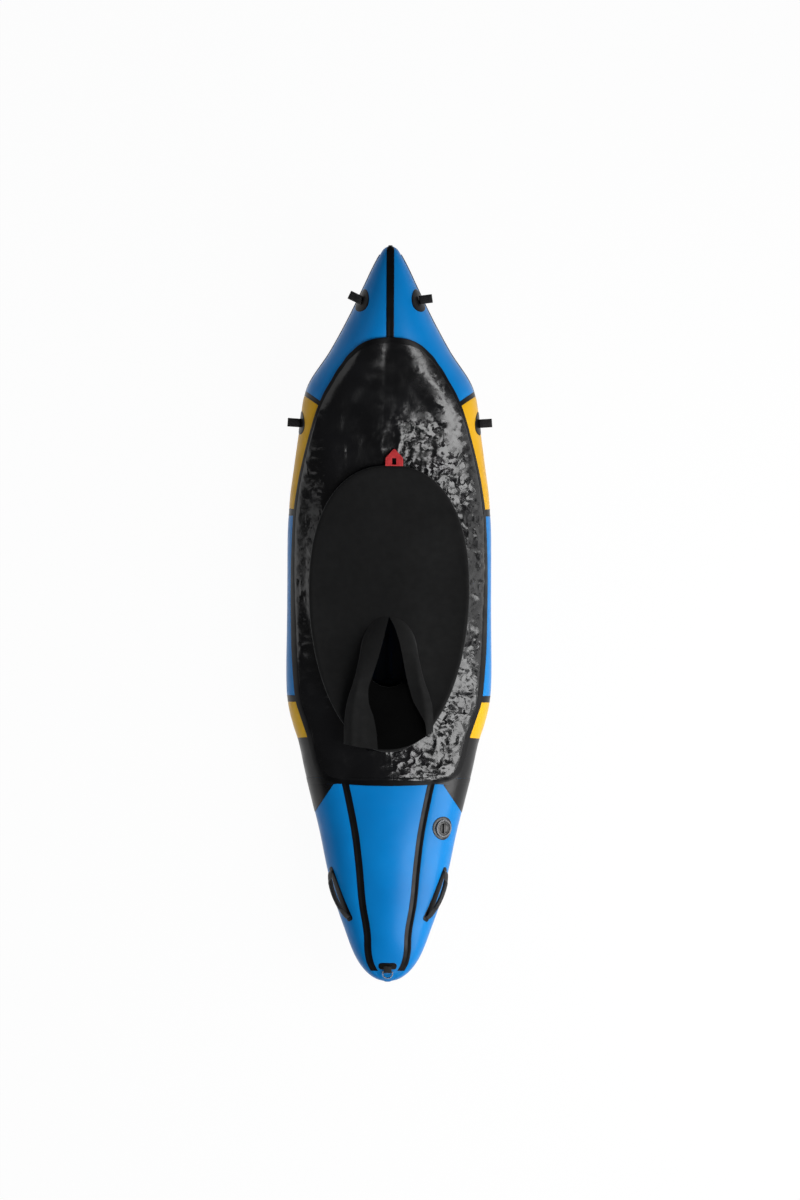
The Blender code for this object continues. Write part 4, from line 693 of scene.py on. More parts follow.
def spread_on_tube(s, angle, flat):
    """Places and angles on the tube of points (u, v) in the plane that touches it."""
    down, turn, _ = tangents(s, angle)
    _, ahead, across, _ = tube_frame(s, angle)
    vectors = (flat[..., :1] * ahead + flat[..., 1:] * across).reshape(-1, 3)
    steps = np.linalg.lstsq(np.stack((down, turn), 1), vectors.T, rcond=None)[0]
    steps = steps.reshape(2, *flat.shape[:-1])
    return s + steps[0], angle + steps[1]


def tube_patch(name, s, angle, side, outline, thickness):
    """A patch welded on a tube: a closed (u, v) outline in rings drawn in to its middle."""
    rings = np.array([0.0, 0.25, 0.5, 0.75, 0.9, 0.97, 1.0])
    place, turn = spread_on_tube(s, angle, rings[:, None, None] * outline)
    edge = np.array([1, 1, 1, 1, 1, 0.86, 0.45])[:, None]
    outer = tube(place, turn, PATCH_BED + thickness * edge, side)
    inner = tube(place, turn, PATCH_BED, side)
    return place_skin(name, np.concatenate((outer, inner[::-1])), pointed=True)


# Materials

def linear(code):
    """An sRGB hex colour as linear RGBA."""
    values = [int(code[i:i + 2], 16) / 255 for i in (1, 3, 5)]
    return tuple(v / 12.92 if v <= 0.04045 else ((v + 0.055) / 1.055) ** 2.4 for v in values) + (1.0,)


def scale_of(size_mm):
    """A texture's scale for a pattern of a real size in millimetres."""
    return 1000 / size_mm


def add_node(tree, kind, settings=None, sockets=(), output=0):
    """Adds a shader node, sets or links its sockets by name or in order, and returns one output."""
    made = tree.nodes.new("ShaderNode" + kind)
    for name, value in (settings or {}).items():
        setattr(made, name, value)
    for name, value in sockets.items() if isinstance(sockets, dict) else enumerate(sockets):
        if isinstance(value, bpy.types.NodeSocket):
            tree.links.new(value, made.inputs[name])
        else:
            made.inputs[name].default_value = value
    return made.outputs[output] if made.outputs else made


ADD = {"operation": "ADD"}
MULTIPLY = {"operation": "MULTIPLY"}
MAXIMUM = {"operation": "MAXIMUM"}
SCALE = {"operation": "SCALE"}
SMOOTH = {"interpolation_type": "SMOOTHSTEP"}


def start_material(name, roughness, settings=None):
    material = bpy.data.materials.new(name)
    material.use_nodes = True
    tree = material.node_tree
    shader = tree.nodes["Principled BSDF"]
    for socket, value in {"Roughness": roughness, **(settings or {})}.items():
        shader.inputs[socket].default_value = value
    return material, tree, shader, add_node(tree, "TexCoord", output="Object")


def mottled(tree, shader, place, shades, size_mm):
    """Base colour that drifts between two shades, in patches of about size_mm."""
    spots = add_node(tree, "TexNoise", None, {"Vector": place, "Scale": scale_of(size_mm), "Detail": 4.0})
    colour = add_node(tree, "ValToRGB", None, {"Fac": spots})
    for element, where, shade in zip(colour.node.color_ramp.elements, (0.3, 0.7), shades):
        element.position = where
        element.color = linear(shade) if isinstance(shade, str) else shade
    tree.links.new(colour, shader.inputs["Base Color"])


def varied_roughness(tree, shader, place, low, high, size_mm):
    """Roughness that drifts from low to high, in patches of about size_mm."""
    spots = add_node(tree, "TexNoise", None, {"Vector": place, "Scale": scale_of(size_mm), "Detail": 3.0})
    rough = add_node(tree, "MapRange", None, (spots, 0.3, 0.7, low, high))
    tree.links.new(rough, shader.inputs["Roughness"])


def yarns(tree, place, directions, pitch_mm, distortion, detail):
    """The heights of crossed sets of yarns, one for each direction. A yarn is half a wave."""
    scale = scale_of(pitch_mm) * math.pi / 20
    sockets = {"Vector": place, "Scale": scale, "Distortion": distortion, "Detail": detail}
    return [
        add_node(tree, "TexWave", {"wave_type": "BANDS", "bands_direction": direction}, sockets, "Fac")
        for direction in directions
    ]


def coated_nylon(name, shades, low, high, weave_mm=0.9, weave_depth_mm=0.05, shine=0.18):
    """Woven nylon with a coat of smooth polyurethane, cast on and heat welded.

    It gives an even satin colour with long soft lights, a faint orange peel and hardly any weave. The real
    threads are 0.3 mm apart, and are drawn coarser so that they show in close views.
    """
    material, tree, shader, place = start_material(name, low, {"IOR": 1.5, "Specular IOR Level": shine})
    mottled(tree, shader, place, shades, 260)
    varied_roughness(tree, shader, place, low, high, 45)
    peel = add_node(tree, "TexNoise", None, {"Vector": place, "Scale": scale_of(35.714), "Detail": 1.0})
    normal = add_node(tree, "Bump", None, {"Height": peel, "Distance": 0.12e-3, "Strength": 0.5})
    weave = add_node(tree, "Math", MAXIMUM, yarns(tree, place, "XY", weave_mm, 0.6, 1.0))
    sockets = {"Height": weave, "Distance": weave_depth_mm / 1000, "Strength": 0.5, "Normal": normal}
    tree.links.new(add_node(tree, "Bump", None, sockets), shader.inputs["Normal"])
    return material


def facet_tilt(tree, place, size_mm, amount, middle=0.5):
    """A small random tilt for each facet of a crumpled sheet."""
    facets = add_node(
        tree, "TexVoronoi", {"feature": "F1"}, {"Vector": place, "Scale": scale_of(size_mm)}, "Color"
    )
    tilt = add_node(tree, "VectorMath", {"operation": "SUBTRACT"}, (facets, (middle, 0.5, 0.5)))
    return add_node(tree, "VectorMath", SCALE, {0: tilt, "Scale": amount})


def crumpled_ripstop(name):
    """Thin ripstop nylon, woven and coated glossy on its face, then crumpled as it was folded for packing.

    It gives deep black that breaks into bright glints, as each facet between the creases mirrors its own way.
    The creases are strong on the right and aft, and nearly gone on the left and in front.
    """
    material, tree, shader, place = start_material(name, 0.1, {"IOR": 1.62})
    mottled(tree, shader, place, ("#0a0a0b", "#111113"), 180)
    sockets = {"Vector": place, "Scale": scale_of(45.455), "Detail": 3.0}
    drift = add_node(tree, "TexNoise", None, sockets, "Color")
    bent = add_node(tree, "VectorMath", {"operation": "MULTIPLY_ADD"}, (drift, (0.07, 0.07, 0.07), place))
    where = add_node(tree, "SeparateXYZ", None, (place,)).node.outputs
    right = add_node(tree, "MapRange", SMOOTH, (where["X"], -0.10, 0.14, 0.16, 1.0))
    aft = add_node(tree, "MapRange", SMOOTH, (where["Y"], 0.90, 0.66, 0.2, 1.0))
    worn = add_node(tree, "TexNoise", None, {"Vector": place, "Scale": scale_of(58.824), "Detail": 2.0})
    rough = add_node(tree, "MapRange", SMOOTH, (worn, 0.35, 0.65, 0.10, 0.19))
    rough = add_node(tree, "Math", ADD, (rough, add_node(tree, "Math", MULTIPLY, (right, 0.10))))
    tree.links.new(rough, shader.inputs["Roughness"])
    patches = add_node(tree, "TexNoise", None, {"Vector": place, "Scale": scale_of(125), "Detail": 2.0})
    share = add_node(tree, "MapRange", SMOOTH, (patches, 0.38, 0.62, 0.35, 1.0))
    folded = add_node(tree, "Math", MULTIPLY, (right, aft))
    creased = add_node(tree, "Math", MULTIPLY, (folded, share))
    sockets = {"Vector": place, "Scale": scale_of(58.824), "Detail": 2.0}
    sockets.update({"Roughness": 0.45, "Distortion": 0.5})
    ridges = add_node(tree, "TexNoise", {"noise_type": "RIDGED_MULTIFRACTAL"}, sockets)
    sockets = {"Vector": bent, "Scale": scale_of(33.333), "Detail": 2.0, "Roughness": 0.5}
    soft = add_node(tree, "TexNoise", None, sockets)
    normal = add_node(tree, "Bump", None, {"Height": soft, "Distance": 1.2e-3, "Strength": 0.5})
    height = add_node(tree, "Math", MULTIPLY, (ridges, creased))
    normal = add_node(
        tree, "Bump", None, {"Height": height, "Distance": 3.0e-3, "Strength": 0.8, "Normal": normal}
    )
    tilts = (facet_tilt(tree, bent, 22, 0.44, 0.26), facet_tilt(tree, bent, 8, 0.20))
    tilt = add_node(tree, "VectorMath", ADD, tilts)
    tilt = add_node(tree, "VectorMath", SCALE, {0: tilt, "Scale": creased})
    lean = add_node(tree, "CombineXYZ", None, (add_node(tree, "Math", MULTIPLY, (folded, 0.10)),))
    tilt = add_node(tree, "VectorMath", ADD, (tilt, lean))
    normal = add_node(tree, "VectorMath", ADD, (normal, tilt))
    normal = add_node(tree, "VectorMath", {"operation": "NORMALIZE"}, (normal,))
    tree.links.new(normal, shader.inputs["Normal"])
    return material


def black_polymer(name, shades, low, high, size_mm=40, bump_mm=0.05, settings=None):
    """A smooth polymer, moulded or coated on a tape: an even dark body with a fine uneven skin."""
    material, tree, shader, place = start_material(name, low, settings)
    mottled(tree, shader, place, shades, size_mm * 3)
    varied_roughness(tree, shader, place, low, high, size_mm)
    peel = add_node(tree, "TexNoise", None, {"Vector": place, "Scale": scale_of(3.3333), "Detail": 3.0})
    normal = add_node(tree, "Bump", None, {"Height": peel, "Distance": bump_mm / 1000, "Strength": 0.7})
    tree.links.new(normal, shader.inputs["Normal"])
    return material


def stretch_knit(name, shades):
    """Stretch nylon, knitted and laminated on neoprene: matt and dark, with fine ribs and a soft sheen.

    The real ribs are 0.5 mm apart, and are drawn coarser so that they show in close views.
    """
    settings = {"Sheen Weight": 0.10, "Sheen Roughness": 0.5, "IOR": 1.4, "Specular IOR Level": 0.25}
    material, tree, shader, place = start_material(name, 0.8, settings)
    mottled(tree, shader, place, shades, 220)
    varied_roughness(tree, shader, place, 0.72, 0.88, 30)
    weave = add_node(tree, "Math", MAXIMUM, yarns(tree, place, "XY", 1.1, 0.6, 1.0))
    normal = add_node(tree, "Bump", None, {"Height": weave, "Distance": 0.12e-3, "Strength": 0.6})
    tree.links.new(normal, shader.inputs["Normal"])
    return material


def nylon_webbing(name, shades):
    """Nylon webbing, woven flat and tight: heavy crosswise ribs that shine a little on their crests."""
    material, tree, shader, place = start_material(name, 0.55, {"Sheen Weight": 0.08, "IOR": 1.45})
    mottled(tree, shader, place, shades, 12)
    varied_roughness(tree, shader, place, 0.48, 0.68, 8)
    ribs = yarns(tree, place, "XYZ", 2.0, 0.4, 2.0)
    crossed = add_node(tree, "Math", MAXIMUM, ribs[:2])
    height = add_node(tree, "Math", ADD, (crossed, ribs[2]))
    normal = add_node(tree, "Bump", None, {"Height": height, "Distance": 0.25e-3, "Strength": 0.8})
    tree.links.new(normal, shader.inputs["Normal"])
    return material


def drawn_steel(name, shades):
    """Stainless steel wire, drawn and polished: bright, with lights stretched by fine scratches."""
    material, tree, shader, place = start_material(name, 0.2, {"Metallic": 1.0})
    mottled(tree, shader, place, shades, 6)
    varied_roughness(tree, shader, place, 0.14, 0.32, 4)
    scratches = add_node(tree, "TexNoise", None, {"Vector": place, "Scale": scale_of(1.1111), "Detail": 4.0})
    normal = add_node(tree, "Bump", None, {"Height": scratches, "Distance": 0.02e-3, "Strength": 0.5})
    tree.links.new(normal, shader.inputs["Normal"])
    return material


MATERIALS = {}


def make_materials():
    """Every material of the boat, with its two shades and its range of roughness."""
    colours = bpy.context.scene.packraft_colours
    blue = (colours.blue_deep, colours.blue_pale)
    yellow = (colours.yellow_deep, colours.yellow_pale)
    red = (colours.red_deep, colours.red_pale)
    dull = {"Specular IOR Level": 0.2}
    # The panels' coat is smooth and taut, so that it gives one long soft light along each tube
    MATERIALS["blue"] = coated_nylon("blue_coated_nylon", blue, 0.28, 0.38)
    MATERIALS["yellow"] = coated_nylon("yellow_coated_nylon", yellow, 0.30, 0.40)
    MATERIALS["black"] = coated_nylon("black_coated_nylon", ("#0a0a0b", "#121214"), 0.26, 0.38, shine=0.3)
    # The floor is heavier cloth with more scuffs and weave, the cushions' cloth is light and matt
    MATERIALS["floor"] = coated_nylon("floor_coated_nylon", ("#121213", "#1b1b1d"), 0.36, 0.5, 1.4, 0.25)
    MATERIALS["seat"] = coated_nylon("seat_coated_nylon", ("#2b2d30", "#35373b"), 0.40, 0.52, 1.2, 0.15)
    MATERIALS["deck"] = crumpled_ripstop("crumpled_ripstop_nylon")
    # Urethane tape, pressed flat by the welder, dulls the light that the panels round it give
    MATERIALS["tape"] = black_polymer("urethane_tape", ("#09090a", "#111112"), 0.30, 0.42, settings=dull)
    MATERIALS["strip"] = black_polymer("urethane_strip", ("#070708", "#0c0c0e"), 0.30, 0.42, settings=dull)
    MATERIALS["skirt"] = stretch_knit("stretch_knit", ("#0d0d0d", "#141414"))
    # The lining is matt, and its near-black colour is painted shade: it darkens the hollow inside the tunnel,
    # where shade falls
    dull = {"Specular IOR Level": 0.04}
    MATERIALS["lining"] = black_polymer("painted_shade_lining", ("#020202", "#040404"), 0.7, 0.85, 60, 0.04, dull)
    MATERIALS["webbing"] = nylon_webbing("black_nylon_webbing", ("#0a0a0b", "#141416"))
    MATERIALS["red"] = nylon_webbing("red_nylon_webbing", red)
    # The valve is moulded urethane: its body glossy and grey, its cap and flange black and finely matt
    MATERIALS["plastic"] = black_polymer("black_urethane", ("#0c0c0d", "#161617"), 0.24, 0.38, 12, 0.03)
    MATERIALS["grey"] = black_polymer("grey_urethane", ("#4c4f54", "#5d6066"), 0.16, 0.28, 12, 0.02)
    MATERIALS["steel"] = drawn_steel("drawn_stainless_steel", ("#b4b6ba", "#d2d4d8"))


def material(key):
    if not MATERIALS:
        make_materials()
    return MATERIALS[key]


# Pieces: the hull

def panel_rows(start, end):
    count = max(6, int((end - start) / ROW_STEP))
    near = np.array([0.002, 0.005, 0.009, 0.014, 0.020])
    rows = np.concatenate((np.linspace(start, end, count), start + near, end - near))
    rows = np.unique(rows[(rows >= start) & (rows <= end)])
    return rows[np.concatenate(([True], np.diff(rows) > 0.0012))]


def hull_panel(name, start, end, side):
    if start < 0.01:
        tip = np.array([0.0008, 0.0025, 0.005, 0.009, 0.014, 0.020, 0.028])
        rows = np.concatenate((tip, panel_rows(0.036, end)))
    else:
        rows = panel_rows(start, end)
    rows[0] += FIT_GAP / 2
    rows[-1] -= FIT_GAP / 2
    limit = mitre_angle(rows)
    angles = limit[:, None] * np.linspace(1, -1, TUBE_COLUMNS + 1)
    outer = tube(rows[:, None], angles, 0.0, side)
    inner = tube(rows[:, None], angles, -PANEL_THICKNESS, side)
    return place_slab(name, outer, inner, closed=limit >= math.pi - 1e-6)


def build_hull():
    marks = (
        ("bow_panel", "blue", 0.0, FRONT_SEAM_SHARE),
        ("front_side_panel", "yellow", FRONT_SEAM_SHARE, MIDDLE_SEAM_SHARE),
        ("mid_side_panel", "blue", MIDDLE_SEAM_SHARE, REAR_SEAM_SHARE),
        ("rear_side_panel", "yellow", REAR_SEAM_SHARE, QUARTER_SEAM_SHARE),
        ("rear_quarter_panel", "black", QUARTER_SEAM_SHARE, BULKHEAD_SHARE),
    )
    for side, word in SIDES:
        for name, key, start, end in marks:
            obj = hull_panel(name + "_skin_" + word, start * LENGTH, end * LENGTH, side)
            finish_piece(obj, key, "hull", name + "_" + word)


def stern_rows():
    return np.concatenate((
        np.arange(BULKHEAD + FIT_GAP / 2, LENGTH * 0.955, ROW_STEP),
        np.linspace(LENGTH * 0.955, LENGTH * 0.9996, 26)[1:],
    ))


def long_seam_pucker(s, away):
    """Short waves across the stern's long seams, away metres from them."""
    points = xyz(s, 0)
    waves = noise_field(points, 0.021, 5) + 0.5 * noise_field(points, 0.009, 6)
    pucker = SEAM_PUCKER_HEIGHT * waves * np.exp(-((away / SEAM_PUCKER_REACH) ** 2))
    return pucker - SEAM_DIP * np.exp(-((away / SEAM_DIP_REACH) ** 2))


def stern_side_grid(rows, lift, side):
    wide = tube_half_width(rows)
    top = RIGHT_ANGLE - FIT_GAP / wide
    spread = np.concatenate((np.linspace(0, 0.18, 12), np.linspace(0.18, 1, 40)[1:]))
    angles = top[:, None] - spread * (top[:, None] + RIGHT_ANGLE)
    away = wide[:, None] * (top[:, None] - angles)
    rise = lift + long_seam_pucker(rows[:, None], away)
    grid = tube(rows[:, None], angles, rise, side)
    reach = np.linspace(1, 0, 10)[1:]
    edge = grid[:, -1:, :]
    across = edge[..., 0] * reach + side * FIT_GAP / 2 * (1 - reach)
    under = xyz(across, edge[..., 1], edge[..., 2])
    return np.concatenate((grid, under), 1)


def stern_top_grid(rows, lift):
    shares = np.concatenate((-np.geomspace(1, 0.02, 22), [0.0], np.geomspace(0.02, 1, 22)))
    shares = np.sign(shares) * (1 - (1 - np.abs(shares)) ** 1.2)
    away = crest_width(rows)[:, None] * (1 - np.abs(shares))
    rise = lift + long_seam_pucker(rows[:, None], away)
    return top_surface(rows[:, None], shares, rise)


def closed_tip(grid, lift):
    """The stern's rows with more behind the last one, drawn together to shut the tip."""
    last = grid[-1]
    tip = np.array((0.0, last[:, 1].min() - STERN_TIP_ROUND - lift, axis_height(LENGTH)))
    more = []
    for turn in np.linspace(0, RIGHT_ANGLE, 7)[1:]:
        row = tip + (last - tip) * max(math.cos(turn), 0.02)
        row[:, 1] = last[:, 1] + (tip[1] - last[:, 1]) * math.sin(turn)
        more.append(row)
    return np.concatenate((grid, np.array(more)))


def build_stern():
    rows = stern_rows()
    lifts = (0.0, -PANEL_THICKNESS)
    for side, word in SIDES:
        skins = [closed_tip(stern_side_grid(rows, lift, side), lift) for lift in lifts]
        obj = place_slab("stern_side_skin_" + word, *skins)
        if side > 0:
            cut_valve_hole(obj)
        finish_piece(obj, "blue", "hull", "stern_side_panel_" + word)
    skins = [closed_tip(stern_top_grid(rows, lift), lift) for lift in lifts]
    obj = place_slab("stern_top_skin", *skins)
    finish_piece(obj, "blue", "hull", "stern_top_panel")
    build_bulkhead()


def cut_valve_hole(obj):
    hole = VALVE_COLLAR_RADIUS + FIT_GAP
    cutter = revolve("cutter", [(hole, -0.03), (hole, 0.03)], tube_frame(*VALVE_SPOT), 64, ring=False)
    modifier = obj.modifiers.new("hole", "BOOLEAN")
    modifier.operation = "DIFFERENCE"
    modifier.solver = "EXACT"
    modifier.object = cutter
    evaluated(obj)
    bpy.data.objects.remove(cutter, do_unlink=True)


def build_bulkhead():
    """The wall between the side tubes' ends, bulged forward by the stern chamber's pressure."""
    s = BULKHEAD + FIT_GAP
    depth = PANEL_THICKNESS + 2 * FIT_GAP
    turn = np.linspace(0, 1, 26)
    wall = tube(s, RIGHT_ANGLE + math.pi * turn, 0.0, 1, False)
    x = np.maximum(wall[:, 0], FIT_GAP)
    z = wall[:, 2]
    shares = np.linspace(-1, 1, 31)
    crown = STERN_CROWN * crown_share(s / LENGTH)
    lift = crown * (1 - shares ** 2) * (1 - smoothstep(0.0, 0.35, turn))[:, None]
    bulge = BULKHEAD_BULGE * (1 - shares ** 2) * np.sin(math.pi * turn)[:, None]
    trim = np.where(turn < 0.5, -depth, depth) * np.exp(-((np.minimum(turn, 1 - turn) / 0.1) ** 2))
    front = xyz(x[:, None] * shares, along(s) + bulge, (z + trim)[:, None] + lift)
    rear = front - np.array((0, PANEL_THICKNESS, 0))
    obj = place_slab("stern_bulkhead_skin", front, rear)
    finish_piece(obj, "black", "hull", "stern_bulkhead")


def build_gussets():
    """Black corner pieces over the front of the stern's sides, trimmed along a slanting line."""
    start = BULKHEAD + FIT_GAP
    near = GUSSET_START_SHARE * LENGTH
    end = GUSSET_END_SHARE * LENGTH
    rows = np.linspace(start, end - 0.002, 44)
    narrow, broad = GUSSET_WIDTH_SHARES
    line = BEAM / 2 * (narrow + (broad - narrow) * (rows - near) / (end - near))
    wide = tube_half_width(rows)
    centre = half_width(rows) - wide
    reach = np.arccos(np.clip((line - centre) / wide, -1, 1))
    reach = np.where(rows < near, RIGHT_ANGLE, np.minimum(reach, RIGHT_ANGLE))
    low = np.maximum(-reach, -math.radians(GUSSET_EDGE_DEGREES))
    share = np.linspace(0, 1, 40)
    angles = reach[:, None] + (low - reach)[:, None] * share
    edge = np.minimum(share, 1 - share) * (reach - low)[:, None] * wide[:, None]
    edge = np.minimum(edge, (end - rows)[:, None])
    thin = 1 - 0.5 * np.exp(-edge / 0.002)
    for side, word in SIDES:
        outer = tube(rows[:, None], angles, CURVE_GAP + TAPE_THICKNESS * thin, side)
        inner = tube(rows[:, None], angles, CURVE_GAP * 0.5, side)
        obj = place_slab("rear_gusset_skin_" + word, outer, inner)
        finish_piece(obj, "black", "hull", "rear_gusset_" + word)


def build_cross_tapes():
    seams = (
        ("front_seam_tape", FRONT_SEAM_SHARE, FRONT_SEAM_WIDTH),
        ("middle_seam_tape", MIDDLE_SEAM_SHARE, MIDDLE_SEAM_WIDTH),
        ("rear_seam_tape", REAR_SEAM_SHARE, REAR_SEAM_WIDTH),
    )
    for name, share, width in seams:
        offsets = np.array([-1, -0.95, -0.7, -0.35, 0, 0.35, 0.7, 0.95, 1])
        rows = share * LENGTH + offsets * width / 2
        lifts = TAPE_TOP - np.where(np.abs(offsets) == 1, 0.0004, 0)
        angles = np.linspace(math.pi, -math.pi, TUBE_COLUMNS + 1)
        for side, word in SIDES:
            outer = tube(rows[:, None], angles, lifts[:, None], side)
            inner = tube(rows[:, None], angles, FIT_GAP * 0.5, side)
            obj = place_slab(name + "_band_" + word, outer, inner, closed=np.ones(len(rows), bool))
            finish_piece(obj, "tape", "hull", name + "_" + word)


def build_long_tapes():
    rows = stern_rows()
    rows = rows[rows < 0.9865 * LENGTH]
    fraction = np.linspace(-1, 1, 13)
    wide = tube_half_width(rows)
    half = STERN_TAPE_WIDTH / 2
    edge = thinned((1 - np.abs(fraction)) * half)
    for side, word in SIDES:
        grids = []
        for lift in (CURVE_GAP + TAPE_THICKNESS * edge, CURVE_GAP * 0.4 + 0 * edge):
            inward = 1 + np.minimum(fraction, 0) * half / crest_width(rows)[:, None]
            angle = RIGHT_ANGLE - np.maximum(fraction, 0) * half / wide[:, None]
            away = np.abs(fraction) * half + 0 * wide[:, None]
            rise = lift + long_seam_pucker(rows[:, None], away)
            on_top = top_surface(rows[:, None], inward, rise)
            on_top[..., 0] *= side
            on_side = tube(rows[:, None], angle, rise, side)
            grids.append(np.where((fraction < 0)[None, :, None], on_top, on_side))
        obj = place_slab("stern_tape_band_" + word, grids[0], grids[1])
        finish_piece(obj, "tape", "hull", "stern_seam_tape_" + word)


def bow_tape_grid(lift):
    """Rows back from the deck along the top, round the tip and back underneath."""
    rear = DECK_EDGE_SHARES[0][0] * LENGTH
    upper = np.concatenate((np.linspace(rear + 0.001, 0.04, 44), [0.032, 0.025, 0.018, 0.012, 0.007, 0.0035]))
    shares = np.linspace(-1, 1, 15)
    half = np.minimum(BOW_TAPE_WIDTH / 2, 0.72 * half_width(upper))
    x = half[:, None] * shares
    y = np.broadcast_to(along(upper)[:, None], x.shape)
    top = hull_top(x, y)
    edge = np.nanmax(top, 1, keepdims=True)
    top = np.where(np.isnan(top), edge, top)
    top = top * (1 - TAPE_BRIDGE) + edge * TAPE_BRIDGE
    over = xyz(x, y, top + lift)
    nose = []
    tip = over[-1]
    low = axis_height(0.0) - tube_half_height(0.0035) * 1.1
    for turn in np.linspace(0.15, 0.85, 7) * math.pi:
        row = tip.copy()
        row[:, 0] *= 0.96
        row[:, 1] = along(0.0) - NOSE_GAP + (NOSE_GAP + lift) * math.sin(turn)
        middle = (tip[:, 2] + low) / 2
        row[:, 2] = middle + (tip[:, 2] - middle) * math.cos(turn)
        nose.append(row)
    places = np.array([0.0035, 0.007, 0.012, 0.018, 0.025, 0.032])
    half = np.minimum(BOW_TAPE_WIDTH / 2, 0.6 * half_width(places))[:, None] * shares
    bottom = axis_height(places) - tube_half_height(places) * np.sqrt(0.9)
    under = xyz(half, along(places)[:, None], bottom[:, None] - lift)
    return np.concatenate((over, np.array(nose), under))


def build_bow_tape():
    edge = thinned((1 - np.abs(np.linspace(-1, 1, 15))) * BOW_TAPE_WIDTH / 2)
    inner = bow_tape_grid(BOW_TAPE_GAP * 0.3)
    outer = bow_tape_grid(BOW_TAPE_GAP + TAPE_THICKNESS)
    outer = inner + (outer - inner) * edge[None, :, None]
    obj = place_slab("bow_tape_band", outer, inner)
    finish_piece(obj, "tape", "hull", "bow_seam_tape")


def floor_grid(rows, lift):
    """From the right edge, under the hull and across to the left one. The edge climbs towards the bow."""
    share = rows / LENGTH
    climb = (FLOOR_EDGE_DEGREES - FLOOR_TOP_DEGREES) * (1 - smoothstep(0.17, 0.31, share))
    edge = -np.radians(FLOOR_EDGE_DEGREES - climb)
    spread = np.linspace(0, 1, 26)
    angles = edge[:, None] - spread * (edge[:, None] + RIGHT_ANGLE)
    right = tube(rows[:, None], angles, lift, 1, False)
    reach = np.linspace(1, 0, 12)[1:]
    side = right[:, -1:, :]
    under = xyz(side[..., 0] * reach, side[..., 1], side[..., 2])
    half = np.concatenate((right, under), 1)
    return np.concatenate((half, half[:, -2::-1] * np.array((-1, 1, 1))), 1)


def build_floor():
    rows = np.unique(np.concatenate((np.linspace(0.0123 * LENGTH, 0.987 * LENGTH, 200), [0.99 * LENGTH])))
    outer = floor_grid(rows, FLOOR_LIFT + FLOOR_THICKNESS)
    inner = floor_grid(rows, FLOOR_LIFT)
    obj = place_slab("floor_sheet", outer, inner)
    finish_piece(obj, "floor", "hull", "bow_floor", "floor")


# Pieces: the cockpit

def deck_edge(turn):
    """Points on the deck's edge in plan, a quarter turn being its front."""
    front = DECK_EDGE_SHARES[0][0] * LENGTH
    rear = DECK_EDGE_SHARES[-1][0] * LENGTH
    s = (front + rear) / 2 - (rear - front) / 2 * np.sin(turn)
    x = BEAM / 2 * deck_edge_share(s / LENGTH)
    return np.copysign(x, np.cos(turn)), along(s)


def egg(turn, inset=0.0):
    """The skirt's outline in plan, drawn in by inset."""
    sine = np.sin(turn)
    cosine = np.cos(turn)
    length = np.where(sine > 0, SKIRT_FRONT - SKIRT_WIDEST, SKIRT_WIDEST - SKIRT_REAR)
    power = np.where(sine > 0, 2 / COAMING_POWER, 1.0)
    x = (SKIRT_HALF_WIDTH - inset) * np.copysign(np.abs(cosine) ** power, cosine)
    y = (length - inset) * np.copysign(np.abs(sine) ** power, sine)
    return xyz(x, SKIRT_WIDEST + y)


def coaming_centre(turn):
    point = egg(turn, SKIRT_THICKNESS + FIT_GAP + SLEEVE_RADIUS + HEM_CORD_RADIUS)
    point[..., 2] = COAMING_HEIGHT + COAMING_FRONT_RISE * np.maximum(0.0, np.sin(turn)) ** 2
    return point


def loop_outward(turn):
    step = 0.01
    ahead = coaming_centre(turn + step) - coaming_centre(turn - step)
    out = xyz(ahead[..., 1], -ahead[..., 0])
    return out / np.linalg.norm(out, axis=-1, keepdims=True)


def even_turns(count, curve):
    """Turns at even steps along a closed curve, so that its points are evenly spaced."""
    fine = np.linspace(0, 2 * math.pi, 4001)
    points = curve(fine)[..., :2]
    run = np.concatenate(([0], np.cumsum(np.linalg.norm(np.diff(points, axis=0), axis=1))))
    return np.interp(np.linspace(0, run[-1], count, endpoint=False), run, fine)


def bridged(height, turn):
    """The heights of the deck's edge, carried smoothly over the valley between the tubes at its front."""
    ahead = np.abs(np.arctan2(np.cos(turn), np.sin(turn)))
    near = ahead < DECK_BRIDGE
    shoulder = height[near][np.argmax(ahead[near])]
    level = shoulder + (height[near].max() - shoulder) * (1 - (ahead / DECK_BRIDGE) ** 2)
    return np.where(near, np.maximum(height, level), height)


def taut(places, heights):
    """The heights of a sheet pulled tight over a profile from end to end."""
    kept = [0]
    for i in range(1, len(places)):
        while len(kept) > 1:
            before, last = kept[-2:]
            line = (heights[i] - heights[before]) * (places[last] - places[before])
            if (heights[last] - heights[before]) * (places[i] - places[before]) > line:
                break
            kept.pop()
        kept.append(i)
    return np.interp(places, places[kept], heights[kept])


